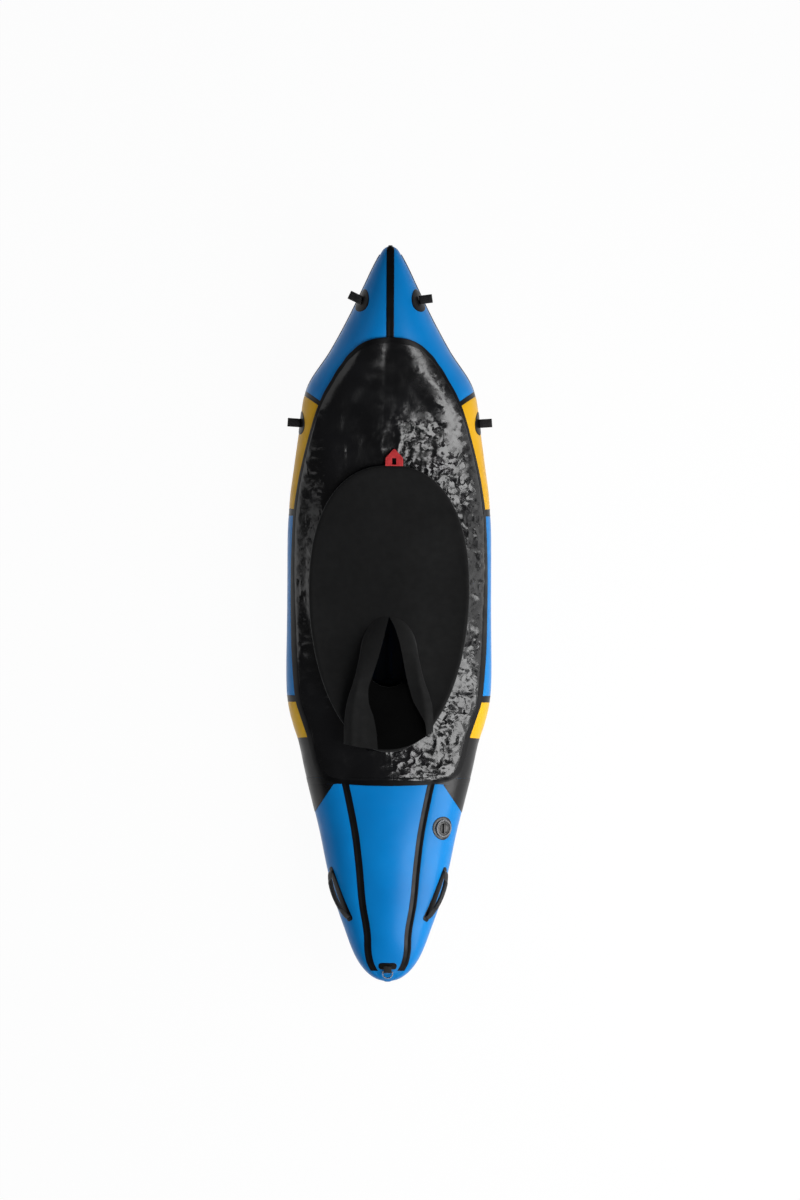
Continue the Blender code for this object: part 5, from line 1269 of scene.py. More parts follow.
def deck_surface():
    """The deck from its welded edge in to the coaming, before its creases. Returns points and shares."""
    turn = even_turns(DECK_TURNS, lambda turn: np.stack(deck_edge(turn), -1))
    x, y = deck_edge(turn)
    edge = xyz(x, y, bridged(hull_top(x, y), turn) + DECK_LIFT)
    rim = coaming_centre(turn)
    out = loop_outward(turn)
    rim[:, 2] -= COAMING_ROD_RADIUS * math.cos(math.radians(30)) + CURVE_GAP
    neck = rim + out * COAMING_FLARE
    neck[:, 2] -= COAMING_NECK
    shares = np.linspace(0, 1, DECK_RINGS) ** 0.9
    span = np.linalg.norm((neck - edge)[:, :2], axis=1)
    grid = edge[:, None] + (neck - edge)[:, None] * shares[None, :, None]
    top = hull_top(grid[..., 0], grid[..., 1])
    floor = np.where(np.isnan(top), -1.0, top + DECK_LIFT)
    resting = np.maximum(grid[..., 2], floor)
    grid[..., 2] = [taut(shares, heights) for heights in resting]
    sag = DECK_SAG_SHARE * span * np.maximum(0, np.sin(turn)) ** 3
    grid[..., 2] -= sag[:, None] * 4 * shares * (1 - shares)
    gap = (grid[..., 2] - floor) / DECK_SOFT_GAP
    eased = floor + DECK_SOFT_GAP * (np.clip(gap, -1, 1) + 1) ** 2 / 4
    grid[..., 2] = np.where((floor > 0) & (gap < 1), eased, grid[..., 2])
    return turn, grid, shares, span, rim, out


def deck_creases(grid, shares, span, turn):
    """The heights that folding, heat and the tight neck leave in the deck."""
    x = grid[..., 0]
    y = grid[..., 1]
    flat = xyz(x, y)
    warp = xyz(noise_field(flat, 0.09, 21), noise_field(flat, 0.09, 22)) * CREASE_WARP
    bent = flat + warp
    to_neck = (1 - shares)[None, :] * span[:, None]
    to_edge = shares[None, :] * span[:, None]
    aft = 1 - smoothstep(0.62, 0.92, y)
    right = smoothstep(-0.12, 0.16, x)
    strong = aft * (0.35 + 0.65 * right)
    patch = smoothstep(-0.35, 0.35, noise_field(flat, 0.11, 23))
    large = ridge_field(bent, 0.052, 24) * CRUMPLE_LARGE
    small = ridge_field(bent, 0.024, 25) * CRUMPLE_SMALL
    crumple = strong * (0.35 + 0.65 * patch) * (large + small)
    stretched = xyz(x / 0.26, y) + warp
    long_folds = ridge_field(stretched, 0.16, 26) * LONG_FOLDS
    left = (1 - smoothstep(-0.20, 0.02, x)) * smoothstep(0.92, 0.75, y)
    folds = left * long_folds * smoothstep(0.15, 0.45, y)
    arc = xyz(np.cos(turn), np.sin(turn))[:, None] * 0.5 + 0 * flat
    pulls = ridge_field(arc + warp * 0.3, 0.020, 27)
    neck_pulls = pulls * NECK_PULLS * np.exp(-to_neck / 0.045) * (0.25 + 0.75 * right)
    edge_pulls = ridge_field(arc, 0.030, 28) * EDGE_PULLS * np.exp(-to_edge / 0.05)
    broad = (BROAD_WAVES[0] + BROAD_WAVES[1] * right) * (noise_field(flat, 0.16, 29) + 1) * aft
    height = crumple + folds + neck_pulls + edge_pulls * aft + broad
    fade = smoothstep(0.0, 0.035, to_edge) * smoothstep(0.0, 0.012, to_neck)
    return height * fade * bpy.context.scene.packraft_sizes.deck_creases


def build_deck():
    turn, grid, shares, span, rim, out = deck_surface()
    normal = grid_normals(grid, ring=True)
    normal = normal * np.sign(normal[..., 2:] + 1e-9)
    height = deck_creases(grid, shares, span, turn)
    grid = grid + normal * height[..., None]
    steps = np.linspace(0, 1, 7)[1:]
    neck = grid[:, -1:] * (1 - steps[None, :, None]) + rim[:, None] * steps[None, :, None]
    below = np.concatenate((grid, neck), 1)
    lift = grid_normals(below, ring=True)
    flip = np.sign(np.sum(lift * np.array((0, 0, 1)) + lift * out[:, None] * 0.5, -1, keepdims=True) + 1e-9)
    above = below + lift * flip * DECK_THICKNESS
    obj = place_slab("spray_deck_sheet", above, below, ring=True, sharp=80)
    finish_piece(obj, "deck", "hull", "spray_deck")
    strip = to_strip(grid, shares, span)
    up = grid_normals(strip, ring=True)
    up = up * np.sign(up[..., 2:] + 1e-9)
    fraction = np.linspace(0, 1, strip.shape[1])
    edge = thinned(np.minimum(fraction, 1 - fraction) * DECK_STRIP_WIDTH, 0.6)
    top = strip + up * (DECK_THICKNESS + FIT_GAP + TAPE_THICKNESS * edge)[None, :, None]
    under = strip + up * (DECK_THICKNESS * 0.6)
    band = place_slab("deck_edge_band", top, under, ring=True)
    finish_piece(band, "strip", "hull", "deck_edge_strip")


def to_strip(grid, shares, span):
    """The outer DECK_STRIP_WIDTH of the deck's grid, in 9 columns."""
    wanted = np.linspace(0, 1, 9) * DECK_STRIP_WIDTH / span[:, None]
    columns = [[np.interp(at, shares, row[:, axis]) for axis in range(3)] for at, row in zip(wanted, grid)]
    return np.array(columns).swapaxes(1, 2)


def build_coaming():
    """The fabric sleeve sewn round the coaming's rod, open underneath where the deck's rim goes in."""
    turn = even_turns(300, coaming_centre)
    centre = coaming_centre(turn)
    out = loop_outward(turn)
    slot = math.radians(SLEEVE_SLOT_DEGREES)
    wrap = np.linspace(-RIGHT_ANGLE + slot, 3 * RIGHT_ANGLE - slot, 24)
    wobble = 0.0003 * noise_field(centre, 0.015, 31)
    outside = SLEEVE_RADIUS + wobble[:, None] * np.ones_like(wrap)
    inside = SLEEVE_RADIUS - SLEEVE_THICKNESS + 0 * outside
    radius = np.concatenate((outside, inside[:, ::-1]), 1)
    angle = np.concatenate((wrap, wrap[::-1]))
    u = radius * np.cos(angle)
    v = radius * np.sin(angle)
    sections = centre[:, None] + out[:, None] * u[..., None] + np.array((0, 0, 1)) * v[..., None]
    obj = place_skin("coaming_sleeve_skin", sections, ring=True)
    finish_piece(obj, "black", "hull", "coaming_sleeve")
    finish_node("coaming_rod", "plastic")


def waist_hole(turn):
    x = WAIST_HOLE_HALF_WIDTH * np.cos(turn)
    y = WAIST_HOLE_CENTRE + WAIST_HOLE_HALF_LENGTH * np.sin(turn)
    return xyz(x, y, COAMING_HEIGHT + SLEEVE_RADIUS + WAIST_HOLE_RISE)


def skirt_surface():
    turn = even_turns(SKIRT_TURNS, egg)
    level = coaming_centre(turn)[:, 2]

    def line(inset, height):
        return egg(turn, inset) + xyz(0, 0, level + height)

    hem = line(SKIRT_THICKNESS, -SKIRT_SKIRTING)
    bend = line(SKIRT_THICKNESS, SLEEVE_RADIUS - SKIRT_SHOULDER / 2)
    middle = line(SKIRT_SHOULDER * 0.3, SLEEVE_RADIUS - SKIRT_SHOULDER * 0.12)
    shoulder = line(SKIRT_SHOULDER, SLEEVE_RADIUS + CURVE_GAP)
    hole = waist_hole(turn)
    rows = [hem * (1 - t) + bend * t for t in (0, 0.35, 0.7, 1.0)] + [middle]
    shares = np.linspace(0, 1, 44)
    flat = shoulder[:, None] + (hole - shoulder)[:, None] * shares[None, :, None]
    sag = SKIRT_SAG * bpy.context.scene.packraft_sizes.skirt_sag
    flat[..., 2] -= sag * 4 * shares * (1 - shares)
    spread = xyz(flat[..., 0], flat[..., 1])
    calm = smoothstep(0, 0.12, shares) * smoothstep(1, 0.85, shares)
    flat[..., 2] += SKIRT_WAVES * noise_field(spread, 0.15, 41) * calm
    ring = xyz(np.cos(turn), np.sin(turn))[:, None] * 0.45 + 0 * flat
    pulls = np.exp(-shares * 12) * smoothstep(0, 0.03, shares)
    flat[..., 2] += SKIRT_PULLS * noise_field(ring, 0.022, 42) * pulls
    return turn, np.concatenate([row[:, None] for row in rows] + [flat], 1)


def build_skirt():
    """The spray skirt stretched over the coaming, with its shock cord in the hem."""
    turn, below = skirt_surface()
    normal = grid_normals(below, ring=True)
    out = loop_outward(turn)
    facing = np.sum(normal * (out[:, None] * 0.3 + np.array((0, 0, 1))), -1, keepdims=True)
    normal = normal * np.sign(facing + 1e-9)
    above = below + normal * SKIRT_THICKNESS
    obj = place_slab("spray_skirt_sheet", above, below, ring=True, sharp=70)
    finish_piece(obj, "skirt", "spray_skirt", "spray_skirt")
    centre = egg(turn, SKIRT_THICKNESS)
    centre[:, 2] = coaming_centre(turn)[:, 2] - SKIRT_SKIRTING - HEM_CORD_RADIUS - FIT_GAP
    angle = around(12)
    radius = HEM_CORD_RADIUS
    sections = centre[:, None] + out[:, None] * (radius * np.cos(angle))[None, :, None]
    sections[..., 2] += radius * np.sin(angle)
    cord = place_skin("skirt_hem_roll", sections, ring=True)
    finish_piece(cord, "webbing", "spray_skirt", "skirt_hem_cord")


def tunnel_grid(rows=84, columns=150):
    """The tunnel's cloth, from the seam on the skirt's hole back to its mouth.

    It lies folded back. Its mouth has sunk open from the front, so that the lining shows between two folds.
    """
    base = COAMING_HEIGHT + SLEEVE_RADIUS + WAIST_HOLE_RISE + SKIRT_THICKNESS + CURVE_GAP
    rim = COAMING_HEIGHT + SLEEVE_RADIUS + SKIRT_THICKNESS + 2 * CURVE_GAP
    rear = WAIST_HOLE_CENTRE - WAIST_HOLE_HALF_LENGTH
    curves = [Curve([(row[0], row[k]) for row in TUNNEL_SHARES]) for k in range(1, 5)]
    place = np.linspace(0, 1, rows) ** 1.5
    tilt, wide, deep, shift = [curve(place)[:, None] for curve in curves]
    left = Curve(MOUTH_LEFT_SHARES)(place)[:, None]
    right = Curve(MOUTH_RIGHT_SHARES)(place)[:, None]
    place = place[:, None]
    power = 1 - 0.25 * tilt
    start = np.arccos(-(left ** (1 / power)))
    end = 2 * math.pi + np.arccos(right ** (1 / power))
    angle = start + (end - start) * np.linspace(0, 1, columns)
    cosine = np.cos(angle)
    sine = np.sin(angle)
    y = rear + (TUNNEL_REAR - rear) * place
    low = base + (rim - base) * place + 0.003 * np.minimum(1.0, shift)
    u = np.copysign(np.abs(cosine) ** power, cosine)
    x = TUNNEL_HALF_WIDTH * wide * u
    climb = WAIST_HOLE_HALF_LENGTH * deep * (1 + sine)
    z = low + climb * np.sin(tilt * RIGHT_ANGLE)
    y = y + climb * np.cos(tilt * RIGHT_ANGLE) + place * u * u * np.where(u > 0, *MOUTH_SWEEP)
    settled = smoothstep(0.02, 0.2, place)
    upper = np.clip(sine * 3, 0, 1) * settled
    z = z - upper * MOUTH_DROPS[0] * smoothstep(0.86, 0.40, u) * (u > 0)
    z = z - upper * MOUTH_DROPS[1] * smoothstep(-0.75, -0.35, u) * (u < 0)
    z = z + upper * MOUTH_FOLD_RISE * np.exp(-((np.abs(u) - 0.84) / 0.10) ** 2)
    soft = xyz(x, y, 0.1 * upper)
    z = z + TUNNEL_WAVES * settled * noise_field(soft, 0.08, 43) * (0.3 + upper)
    return xyz(x, y, z)


def build_tunnel():
    """The waist tunnel: the skirt's knit outside and a smooth lining inside, whose near black is painted
    shade for the hollow.
    """
    outer = tunnel_grid()
    normal = grid_normals(outer)
    underneath = normal[len(outer) // 2, outer.shape[1] // 2, 2]
    inward = normal * np.sign(underneath)
    cloth = place_slab("waist_tunnel_cloth", outer, outer + inward * TUNNEL_CLOTH, sharp=75)
    finish_piece(cloth, "skirt", "waist_tunnel", "waist_tunnel")
    near = outer + inward * (TUNNEL_CLOTH + FIT_GAP)
    # The lining sheet is coloured near black as painted shade, to darken the tunnel's hollow
    lining = place_slab("waist_tunnel_shade_lining", near, near + inward * TUNNEL_LINING, sharp=75)
    finish_piece(lining, "lining", "waist_tunnel")
    build_tunnel_gusset()


def build_tunnel_gusset():
    """The stretch band that joins the tunnel to the skirt's hole."""
    turn = around(160)
    hole = waist_hole(turn)
    heights = np.linspace(0, SKIRT_THICKNESS + CURVE_GAP + FIT_GAP, 17)
    centre = np.array((0, WAIST_HOLE_CENTRE))
    skins = []
    for inset in GUSSET_INSETS:
        grid = hole[:, None] + np.zeros((1, len(heights), 1))
        grid[..., :2] += (centre - grid[..., :2]) * inset / WAIST_HOLE_HALF_WIDTH
        grid[..., 2] += heights
        skins.append(grid)
    band = place_slab("waist_tunnel_gusset", skins[0], skins[1], ring=True)
    band.data.materials.append(material("skirt"))
    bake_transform(band)


def build_grab_tab():
    """The red pull tab on the front of the skirt: a house-shaped plate of stiff webbing with a slot."""
    tip = egg(np.array(RIGHT_ANGLE))
    level = coaming_centre(np.array(RIGHT_ANGLE))[2]
    pivot = np.array((
        GRAB_TAB_OFFSET, tip[1] - GRAB_TAB_SETBACK, level + SLEEVE_RADIUS * GRAB_TAB_HEIGHT_SHARE
    ))
    slope = math.radians(GRAB_TAB_SLOPE)
    ahead = np.array((0, math.cos(slope), -math.sin(slope)))
    up = np.array((0, math.sin(slope), math.cos(slope)))
    base = (pivot, ahead, np.array((1.0, 0, 0)), up)
    half = GRAB_TAB_WIDTH / 2
    length = GRAB_TAB_LENGTH
    shoulder = length * 0.50
    corners = [
        (0, -half), (shoulder * 0.8, -half), (shoulder, -half * 0.94), (length * 0.97, -half * 0.14),
        (length, 0), (length * 0.97, half * 0.14), (shoulder, half * 0.94), (shoulder * 0.8, half), (0, half),
    ]
    slot = GRAB_TAB_SLOT_WIDTH / 2
    start = GRAB_TAB_THICKNESS * 2
    end = start + GRAB_TAB_SLOT_LENGTH
    hole = [(start, -slot), (end, -slot), (end, slot), (start, slot)]
    outside = even_outline(corners, 96)
    inside = even_outline(hole, 96)
    centre = np.array(((start + end) / 2, 0))
    inside = match_angles(outside, inside, centre)
    thick = GRAB_TAB_THICKNESS / 2
    loops = []
    for inset, w in ((0.0, -0.4), (0.0007, -0.9), (0.0018, -1.0)):
        loops.append((outside + (centre - outside) * inset / 0.03, w * thick))
    for inset, w in ((0.0015, -1.0), (0.0005, -0.9), (0.0, -0.4), (0.0, 0.4), (0.0005, 0.9), (0.0015, 1.0)):
        loops.append((inside + (inside - centre) * inset / 0.01, w * thick))
    for inset, w in ((0.0018, 1.0), (0.0007, 0.9), (0.0, 0.4)):
        loops.append((outside + (centre - outside) * inset / 0.03, w * thick))
    sections = np.stack([placed(base, loop[:, 0], loop[:, 1], w) for loop, w in loops])
    bow = -GRAB_TAB_BOW * np.cos(math.pi * (sections[..., 0] - pivot[0]) / GRAB_TAB_WIDTH)
    sections[..., 2] += bow * smoothstep(0, 0.3, (sections[..., 1] - pivot[1]) / length)
    obj = place_skin("grab_tab_plate", sections, ring=True)
    finish_piece(obj, "red", "grab_tab", "grab_tab")


def even_outline(corners, count):
    """Points at even steps round a closed outline of straight sides."""
    points = np.array(list(corners) + [corners[0]], float)
    run = np.concatenate(([0], np.cumsum(np.linalg.norm(np.diff(points, axis=0), axis=1))))
    at = np.linspace(0, run[-1], count, endpoint=False)
    return np.stack((np.interp(at, run, points[:, 0]), np.interp(at, run, points[:, 1])), -1)


def match_angles(outside, inside, centre):
    """The inside outline's points, one along the line from the centre to each outside point."""
    result = []
    closed = np.concatenate((inside, inside[:1]))
    for point in outside:
        ray = point - centre
        best = None
        for a, b in zip(closed, closed[1:]):
            side = b - a
            cross = ray[0] * side[1] - ray[1] * side[0]
            if abs(cross) < 1e-12:
                continue
            gap = a - centre
            t = (gap[0] * side[1] - gap[1] * side[0]) / cross
            v = (gap[0] * ray[1] - gap[1] * ray[0]) / cross
            if t > 0 and -1e-6 <= v <= 1 + 1e-6 and (best is None or t < best):
                best = t
        result.append(centre + ray * (best if best is not None else 0.3))
    return np.array(result)


# Pieces: fittings

def stadium_path(length, radius, steps=10):
    turn = np.linspace(0, math.pi, steps)
    near = np.stack((-radius * np.sin(turn), radius * np.cos(turn)), -1)
    far = np.stack((length + radius * np.sin(turn), -radius * np.cos(turn)), -1)
    straight = np.linspace(0, 1, 8)[1:-1, None]
    one = near[-1] * (1 - straight) + far[0] * straight
    two = far[-1] * (1 - straight) + near[0] * straight
    return np.concatenate((near, one, far, two))


def build_tie_point(word, place, side, forward_turn, sink):
    s = place[0] * LENGTH
    angle = place[1] * RIGHT_ANGLE
    patch = tube_patch("tie_patch_disc_" + word, s, angle, side, circle(TIE_PATCH_RADIUS), PATCH_BODY)
    finish_piece(patch, "tape", "hull", "tie_patch_" + word)
    normal = tangents(s, angle)[2]
    origin = tube(s, angle, 0.0, 1, False)
    level = unit((normal[0], normal[1], 0))
    cosine, sine = math.cos(forward_turn), math.sin(forward_turn)
    turned = level @ np.array(((cosine, sine, 0), (-sine, cosine, 0), (0, 0, 1)))
    mirror = np.array((side, 1, 1))
    normal, origin, turned = normal * mirror, origin * mirror, turned * mirror
    lift = CURVE_GAP + PATCH_THICKNESS + LOOP_CLEARANCE + LOOP_RADIUS - sink
    pivot = origin + normal * lift
    across = np.cross((0, 0, 1), turned)
    path = stadium_path(TIE_LOOP_LENGTH - 2 * LOOP_RADIUS, LOOP_RADIUS - LOOP_WALL / 2)
    flare = 1 - 0.10 * smoothstep(0.012, 0.0, np.abs(path[:, :1]))
    points = pivot + path[:, :1] * turned + path[:, 1:] * np.array((0, 0, 1.0)) * flare
    obj = ribbon("tie_loop_band_" + word, points, across, TIE_LOOP_WIDTH, LOOP_WALL, ring=True)
    finish_piece(obj, "webbing", "tie_loop_" + word, "tie_loop_" + word)


def build_tie_points():
    for side, word in SIDES:
        turn = BOW_LOOP_TURN_SHARES[side > 0] * RIGHT_ANGLE
        build_tie_point("bow_" + word, BOW_TIE, side, turn, -FIT_GAP)
        build_tie_point("side_" + word, SIDE_TIE, side, 0.0, SIDE_LOOP_SINK)


def build_handle(word, side):
    front = HANDLE_SHARES[0] * LENGTH
    rear = HANDLE_SHARES[1] * LENGTH
    turns = [share * RIGHT_ANGLE for share in HANDLE_TURN_SHARES]
    start = tube(front, turns[0], 0, 1, False)
    end = tube(rear, turns[1], 0, 1, False)
    run = unit(end - start)
    length = np.linalg.norm(end - start)
    half = HANDLE_BASE_WIDTH / 2
    ends = half / length
    share = np.concatenate((
        -ends * np.cos(np.linspace(0, RIGHT_ANGLE, 7)), np.linspace(0, 1, 24)[1:-1],
        1 + ends * np.sin(np.linspace(0, RIGHT_ANGLE, 7)),
    ))
    outside = np.maximum(np.maximum(-share, share - 1), 0) / ends
    width = half * np.sqrt(np.clip(1 - 0.85 * outside ** 4, 0, 1))
    across = np.linspace(-1, 1, 13)
    outer = np.empty((len(share), 13, 3))
    inner = np.empty_like(outer)
    for i, t in enumerate(share):
        s = front + (rear - front) * t
        angle = turns[0] + (turns[1] - turns[0]) * t
        down, turn, normal = tangents(s, angle)
        direction = unit(np.cross(normal, run))
        metric = np.linalg.lstsq(np.stack((down, turn), 1), direction, rcond=None)[0]
        offset = across * width[i]
        edge = thinned((1 - np.abs(across)) * half)
        if i in (0, len(share) - 1):
            edge = edge * 0.5
        place, turn = s + offset * metric[0], angle + offset * metric[1]
        outer[i] = tube(place, turn, PATCH_BED + PATCH_BODY * edge, side)
        inner[i] = tube(place, turn, PATCH_BED, side)
    strip = place_slab("handle_strip_" + word, outer, inner)
    finish_piece(strip, "tape", "hull", "handle_base_" + word)
    mirror = np.array((side, 1, 1))
    start_normal = tangents(front, turns[0])[2]
    end_normal = tangents(rear, turns[1])[2]
    lift = CURVE_GAP + PATCH_THICKNESS + LOOP_CLEARANCE + HANDLE_END_RADIUS - HANDLE_SINK
    first = start + start_normal * lift
    last = end + end_normal * lift
    run = unit(last - first)
    normal = unit(start_normal + end_normal)
    wide = unit(np.cross(normal, run))
    up = np.cross(run, wide)
    t = np.linspace(0, 1, 61)
    height = HANDLE_HEIGHT * np.sin(math.pi * t) ** HANDLE_ARCH_POWER
    middle = first + (last - first) * t[:, None] + up * height[:, None]
    ahead = np.gradient(middle, axis=0)
    ahead /= np.linalg.norm(ahead, axis=1, keepdims=True)
    rise = np.cross(ahead, wide)
    grip = smoothstep(0.16, 0.24, t) * smoothstep(0.84, 0.76, t)
    turn = around(24)
    flat_u = HANDLE_FLAT[0] * np.sign(np.cos(turn)) * np.abs(np.cos(turn)) ** 0.7
    flat_v = HANDLE_FLAT[1] * np.sign(np.sin(turn)) * np.abs(np.sin(turn)) ** 0.7
    round_u = HANDLE_GRIP_RADIUS * 1.15 * np.cos(turn)
    round_v = HANDLE_GRIP_RADIUS * 0.95 * np.sin(turn)
    u = flat_u + (round_u - flat_u) * grip[:, None]
    v = flat_v + (round_v - flat_v) * grip[:, None]
    sections = (middle[:, None] + wide * u[..., None] + rise[:, None] * v[..., None]) * mirror
    obj = place_skin("carry_handle_grip_" + word, sections, sharp=60)
    finish_piece(obj, "webbing", "carry_handle_" + word, "carry_handle_" + word)


def stern_top_frame(share):
    s = share * LENGTH
    aft = unit(top_surface(s + 0.0005, 0.0) - top_surface(s - 0.0005, 0.0))
    out = np.cross(aft, (1.0, 0, 0))
    return set_frame(top_surface(s, 0.0), aft, out if out[2] > 0 else -out)


def build_stern_ring():
    """The patch, the folded webbing tab and the metal ring at the stern's tip."""
    base = stern_top_frame(STERN_PATCH_SHARE)
    outline = rounded_box(STERN_PATCH_HALF_LENGTH * 0.62, STERN_PATCH_HALF_WIDTH, 0.0115, 9)
    rings = np.array([0.0, 0.4, 0.75, 0.92, 0.98, 1.0])
    flat = rings[:, None, None] * outline
    s = STERN_PATCH_SHARE * LENGTH + flat[..., 0]
    share = flat[..., 1] / crest_width(s)
    edge = np.array([1, 1, 1, 1, 0.85, 0.4])[:, None]
    outer = top_surface(s, share, PATCH_BED + PATCH_BODY * edge)
    inner = top_surface(s, share, PATCH_BED)
    patch = place_skin("stern_patch_disc", np.concatenate((outer, inner[::-1])), pointed=True)
    finish_piece(patch, "tape", "hull", "stern_patch")
    eye = RING_WIRE_RADIUS + RING_CLEARANCE
    wall = eye + STERN_TAB_WALL
    lift = CURVE_GAP + PATCH_THICKNESS + STERN_TAB_LIFT
    length = STERN_TAB_LENGTH - wall
    radius = eye + STERN_TAB_WALL / 2
    turn = np.linspace(0, math.pi, 13)
    nose = np.stack((length + radius * np.sin(turn), radius * np.cos(turn)), -1)
    upper = np.array([(0.0, 0.0012), (0.004, 0.0016), (0.010, radius * 0.75), (0.016, radius * 0.97)])
    lower = upper[::-1] * np.array((1, -1))
    path = np.concatenate((upper, nose, lower))
    centre = placed(base, 0.0, 0.0, lift + wall)
    points = centre + path[:, :1] * base[1] + path[:, 1:] * base[3]
    tab = ribbon("stern_tab_band", points, base[2], STERN_TAB_WIDTH, STERN_TAB_WALL)
    finish_piece(tab, "webbing", "hull", "stern_tab")
    finish_node("stern_ring", "steel")


def build_valve():
    """The welded flange, the bright collar and the black cap of the inflation valve."""
    base = tube_frame(*VALVE_SPOT)
    radii = np.array([VALVE_COLLAR_RADIUS + 0.0006, 0.0375, 0.040, 0.043, 0.0452, VALVE_FLANGE_RADIUS])
    lifts = np.array([0.0022, 0.0024, 0.0021, 0.0017, 0.0014, 0.0008])
    place, turn = spread_on_tube(*VALVE_SPOT, radii[:, None, None] * circle(1.0, 96))
    outer = tube(place, turn, lifts[:, None])
    inner = tube(place, turn, FIT_GAP)
    flange = place_skin("valve_flange_ring", np.concatenate((outer, inner[::-1])), ring=True)
    finish_piece(flange, "plastic", "hull", "valve_flange")
    floor = VALVE_COLLAR_HEIGHT - VALVE_RECESS_DEPTH
    high = VALVE_COLLAR_HEIGHT
    rim = VALVE_COLLAR_RADIUS
    recess = VALVE_RECESS_RADIUS
    collar = [
        (rim, 0.0), (rim, high - 0.0022), (rim - 0.0005, high - 0.0010), (rim - 0.0016, high - 0.0002),
        (rim - 0.0026, high), (recess + 0.0014, high), (recess + 0.0004, high - 0.0004),
        (recess, high - 0.0014), (recess, floor), (VALVE_BORE_RADIUS, floor), (VALVE_BORE_RADIUS, -0.008),
        (rim - 0.004, -0.008), (rim - 0.0006, -0.006),
    ]
    obj = revolve("valve_collar", collar, base)
    finish_piece(obj, "grey", "hull")
    finish_node("valve_body", "grey")
    finish_node("valve_poppet", "plastic")
    finish_node("valve_spring", "steel")
    build_cap(base, floor)


def build_cap(base, floor):
    radius = VALVE_RECESS_RADIUS - VALVE_CLEARANCE
    plug = VALVE_BORE_RADIUS - VALVE_CLEARANCE
    low = floor + VALVE_CLEARANCE
    high = low + CAP_THICKNESS
    profile = [
        (0.0002, low + 0.0006), (plug - 0.0022, low + 0.0006), (plug - 0.0022, low - 0.0026),
        (plug - 0.0016, low - 0.003), (plug - 0.0004, low - 0.003), (plug, low - 0.0026), (plug, low),
        (radius - 0.0004, low), (radius, low + 0.0004), (radius, high - 0.0012),
        (radius - 0.0004, high - 0.0004), (radius - 0.0012, high),
        (0.0205, high), (0.0195, high - 0.0009), (0.0165, high - 0.0014), (0.0002, high - 0.0014),
    ]
    cap = revolve("valve_cap_disc", profile, base, ring=False)
    finish_piece(cap, "plastic", "valve_cap", "valve_cap")
    half = CAP_GRIP_LENGTH / 2
    wide = CAP_GRIP_WIDTH / 2
    top = high + CAP_GRIP_HEIGHT
    levels = (
        (high - 0.002, -0.0012), (high - 0.0006, -0.0008), (high + 0.0004, 0.0),
        (top - 0.0014, 0.0004), (top - 0.0004, 0.0010), (top, 0.0020),
    )
    sections = []
    for w, inset in levels:
        outline = rounded_box(half - inset, wide - inset, wide * 0.9 - inset, 6)
        sections.append(placed(base, outline[:, 0], outline[:, 1], w))
    grip = place_skin("valve_cap_grip", np.stack(sections))
    finish_piece(grip, "plastic", "valve_cap")


# Pieces: seat and backrest

def cushion_mesh(name, half_width, half_depth, height, base, drawn):
    """A closed cushion stacked up its frame's last axis, drawn in a little before it is inflated."""
    sections = []
    for level in np.linspace(0, 1, 9):
        inset = drawn + CUSHION_CROWN * (1 - math.sin(math.pi * level) ** 0.5)
        corner = max(CUSHION_CORNER - inset * 0.6, 0.008)
        outline = rounded_box(half_width - inset, half_depth - inset, corner, 10)
        sections.append(placed(base, outline[:, 0], outline[:, 1], drawn * 0.5 + (height - drawn) * level))
    return place_skin(name, np.stack(sections))


def inflate(obj, reach):
    """Swells a closed cushion by a cloth simulation, holding each point within reach of its place."""
    bpy.context.view_layer.objects.active = obj
    modifier = obj.modifiers.new("remesh", "REMESH")
    modifier.mode = "VOXEL"
    modifier.voxel_size = CUSHION_VOXEL
    rest = coordinates(evaluated(obj))
    cloth = obj.modifiers.new("cloth", "CLOTH")
    cloth.settings.quality = 4
    cloth.settings.use_pressure = True
    cloth.settings.uniform_pressure_force = CUSHION_PRESSURE
    cloth.settings.effector_weights.gravity = 0.0
    cloth.settings.tension_stiffness = 25
    cloth.settings.compression_stiffness = 12
    cloth.settings.bending_stiffness = 0.4
    cloth.point_cache.frame_start = 1
    cloth.point_cache.frame_end = CUSHION_FRAMES
    for number in range(1, CUSHION_FRAMES + 1):
        bpy.context.scene.frame_set(number)
    move = coordinates(evaluated(obj)) - rest
    size = np.linalg.norm(move, axis=1, keepdims=True)
    swollen = rest + move * np.minimum(1, reach / np.maximum(size, 1e-9))
    obj.data.vertices.foreach_set("co", swollen.ravel())
    bpy.context.scene.frame_set(1)
    obj.data.update()
    obj.data.shade_smooth()


def draw_in(obj, half_width, half_depth, height, base, channels):
    """Draws a cushion in along its welded channels, and keeps it inside its own box."""
    axes = np.array(base[1:])
    local = (coordinates(obj.data) - base[0]) @ axes.T
    side = local[:, 2] - height / 2
    for place in channels:
        groove = CHANNEL_DEPTH * np.exp(-((np.abs(local[:, 0] - place) / CHANNEL_REACH) ** 2))
        ends = smoothstep(half_depth, half_depth * 0.72, np.abs(local[:, 1]))
        local[:, 2] -= np.sign(side) * groove * ends * smoothstep(0.2, 0.8, np.abs(side) / (height / 2))
    local = np.clip(local, (-half_width, -half_depth, 0.0), (half_width, half_depth, height))
    obj.data.vertices.foreach_set("co", (base[0] + local @ axes).ravel())
    obj.data.update()


def edge_weld(name, half_width, half_depth, height, base):
    """The flat welded seam that runs round a cushion's middle."""
    outline = rounded_box(half_width, half_depth, CUSHION_CORNER, 12)
    inner = outline * (1 - 0.010 / np.abs(outline).max())
    loops = []
    for points, w in ((outline, -0.0008), (outline, 0.0008), (inner, 0.0014), (inner, -0.0014)):
        loops.append(placed(base, points[:, 0], points[:, 1], height / 2 + w))
    return place_skin(name, np.stack(loops), ring=True)


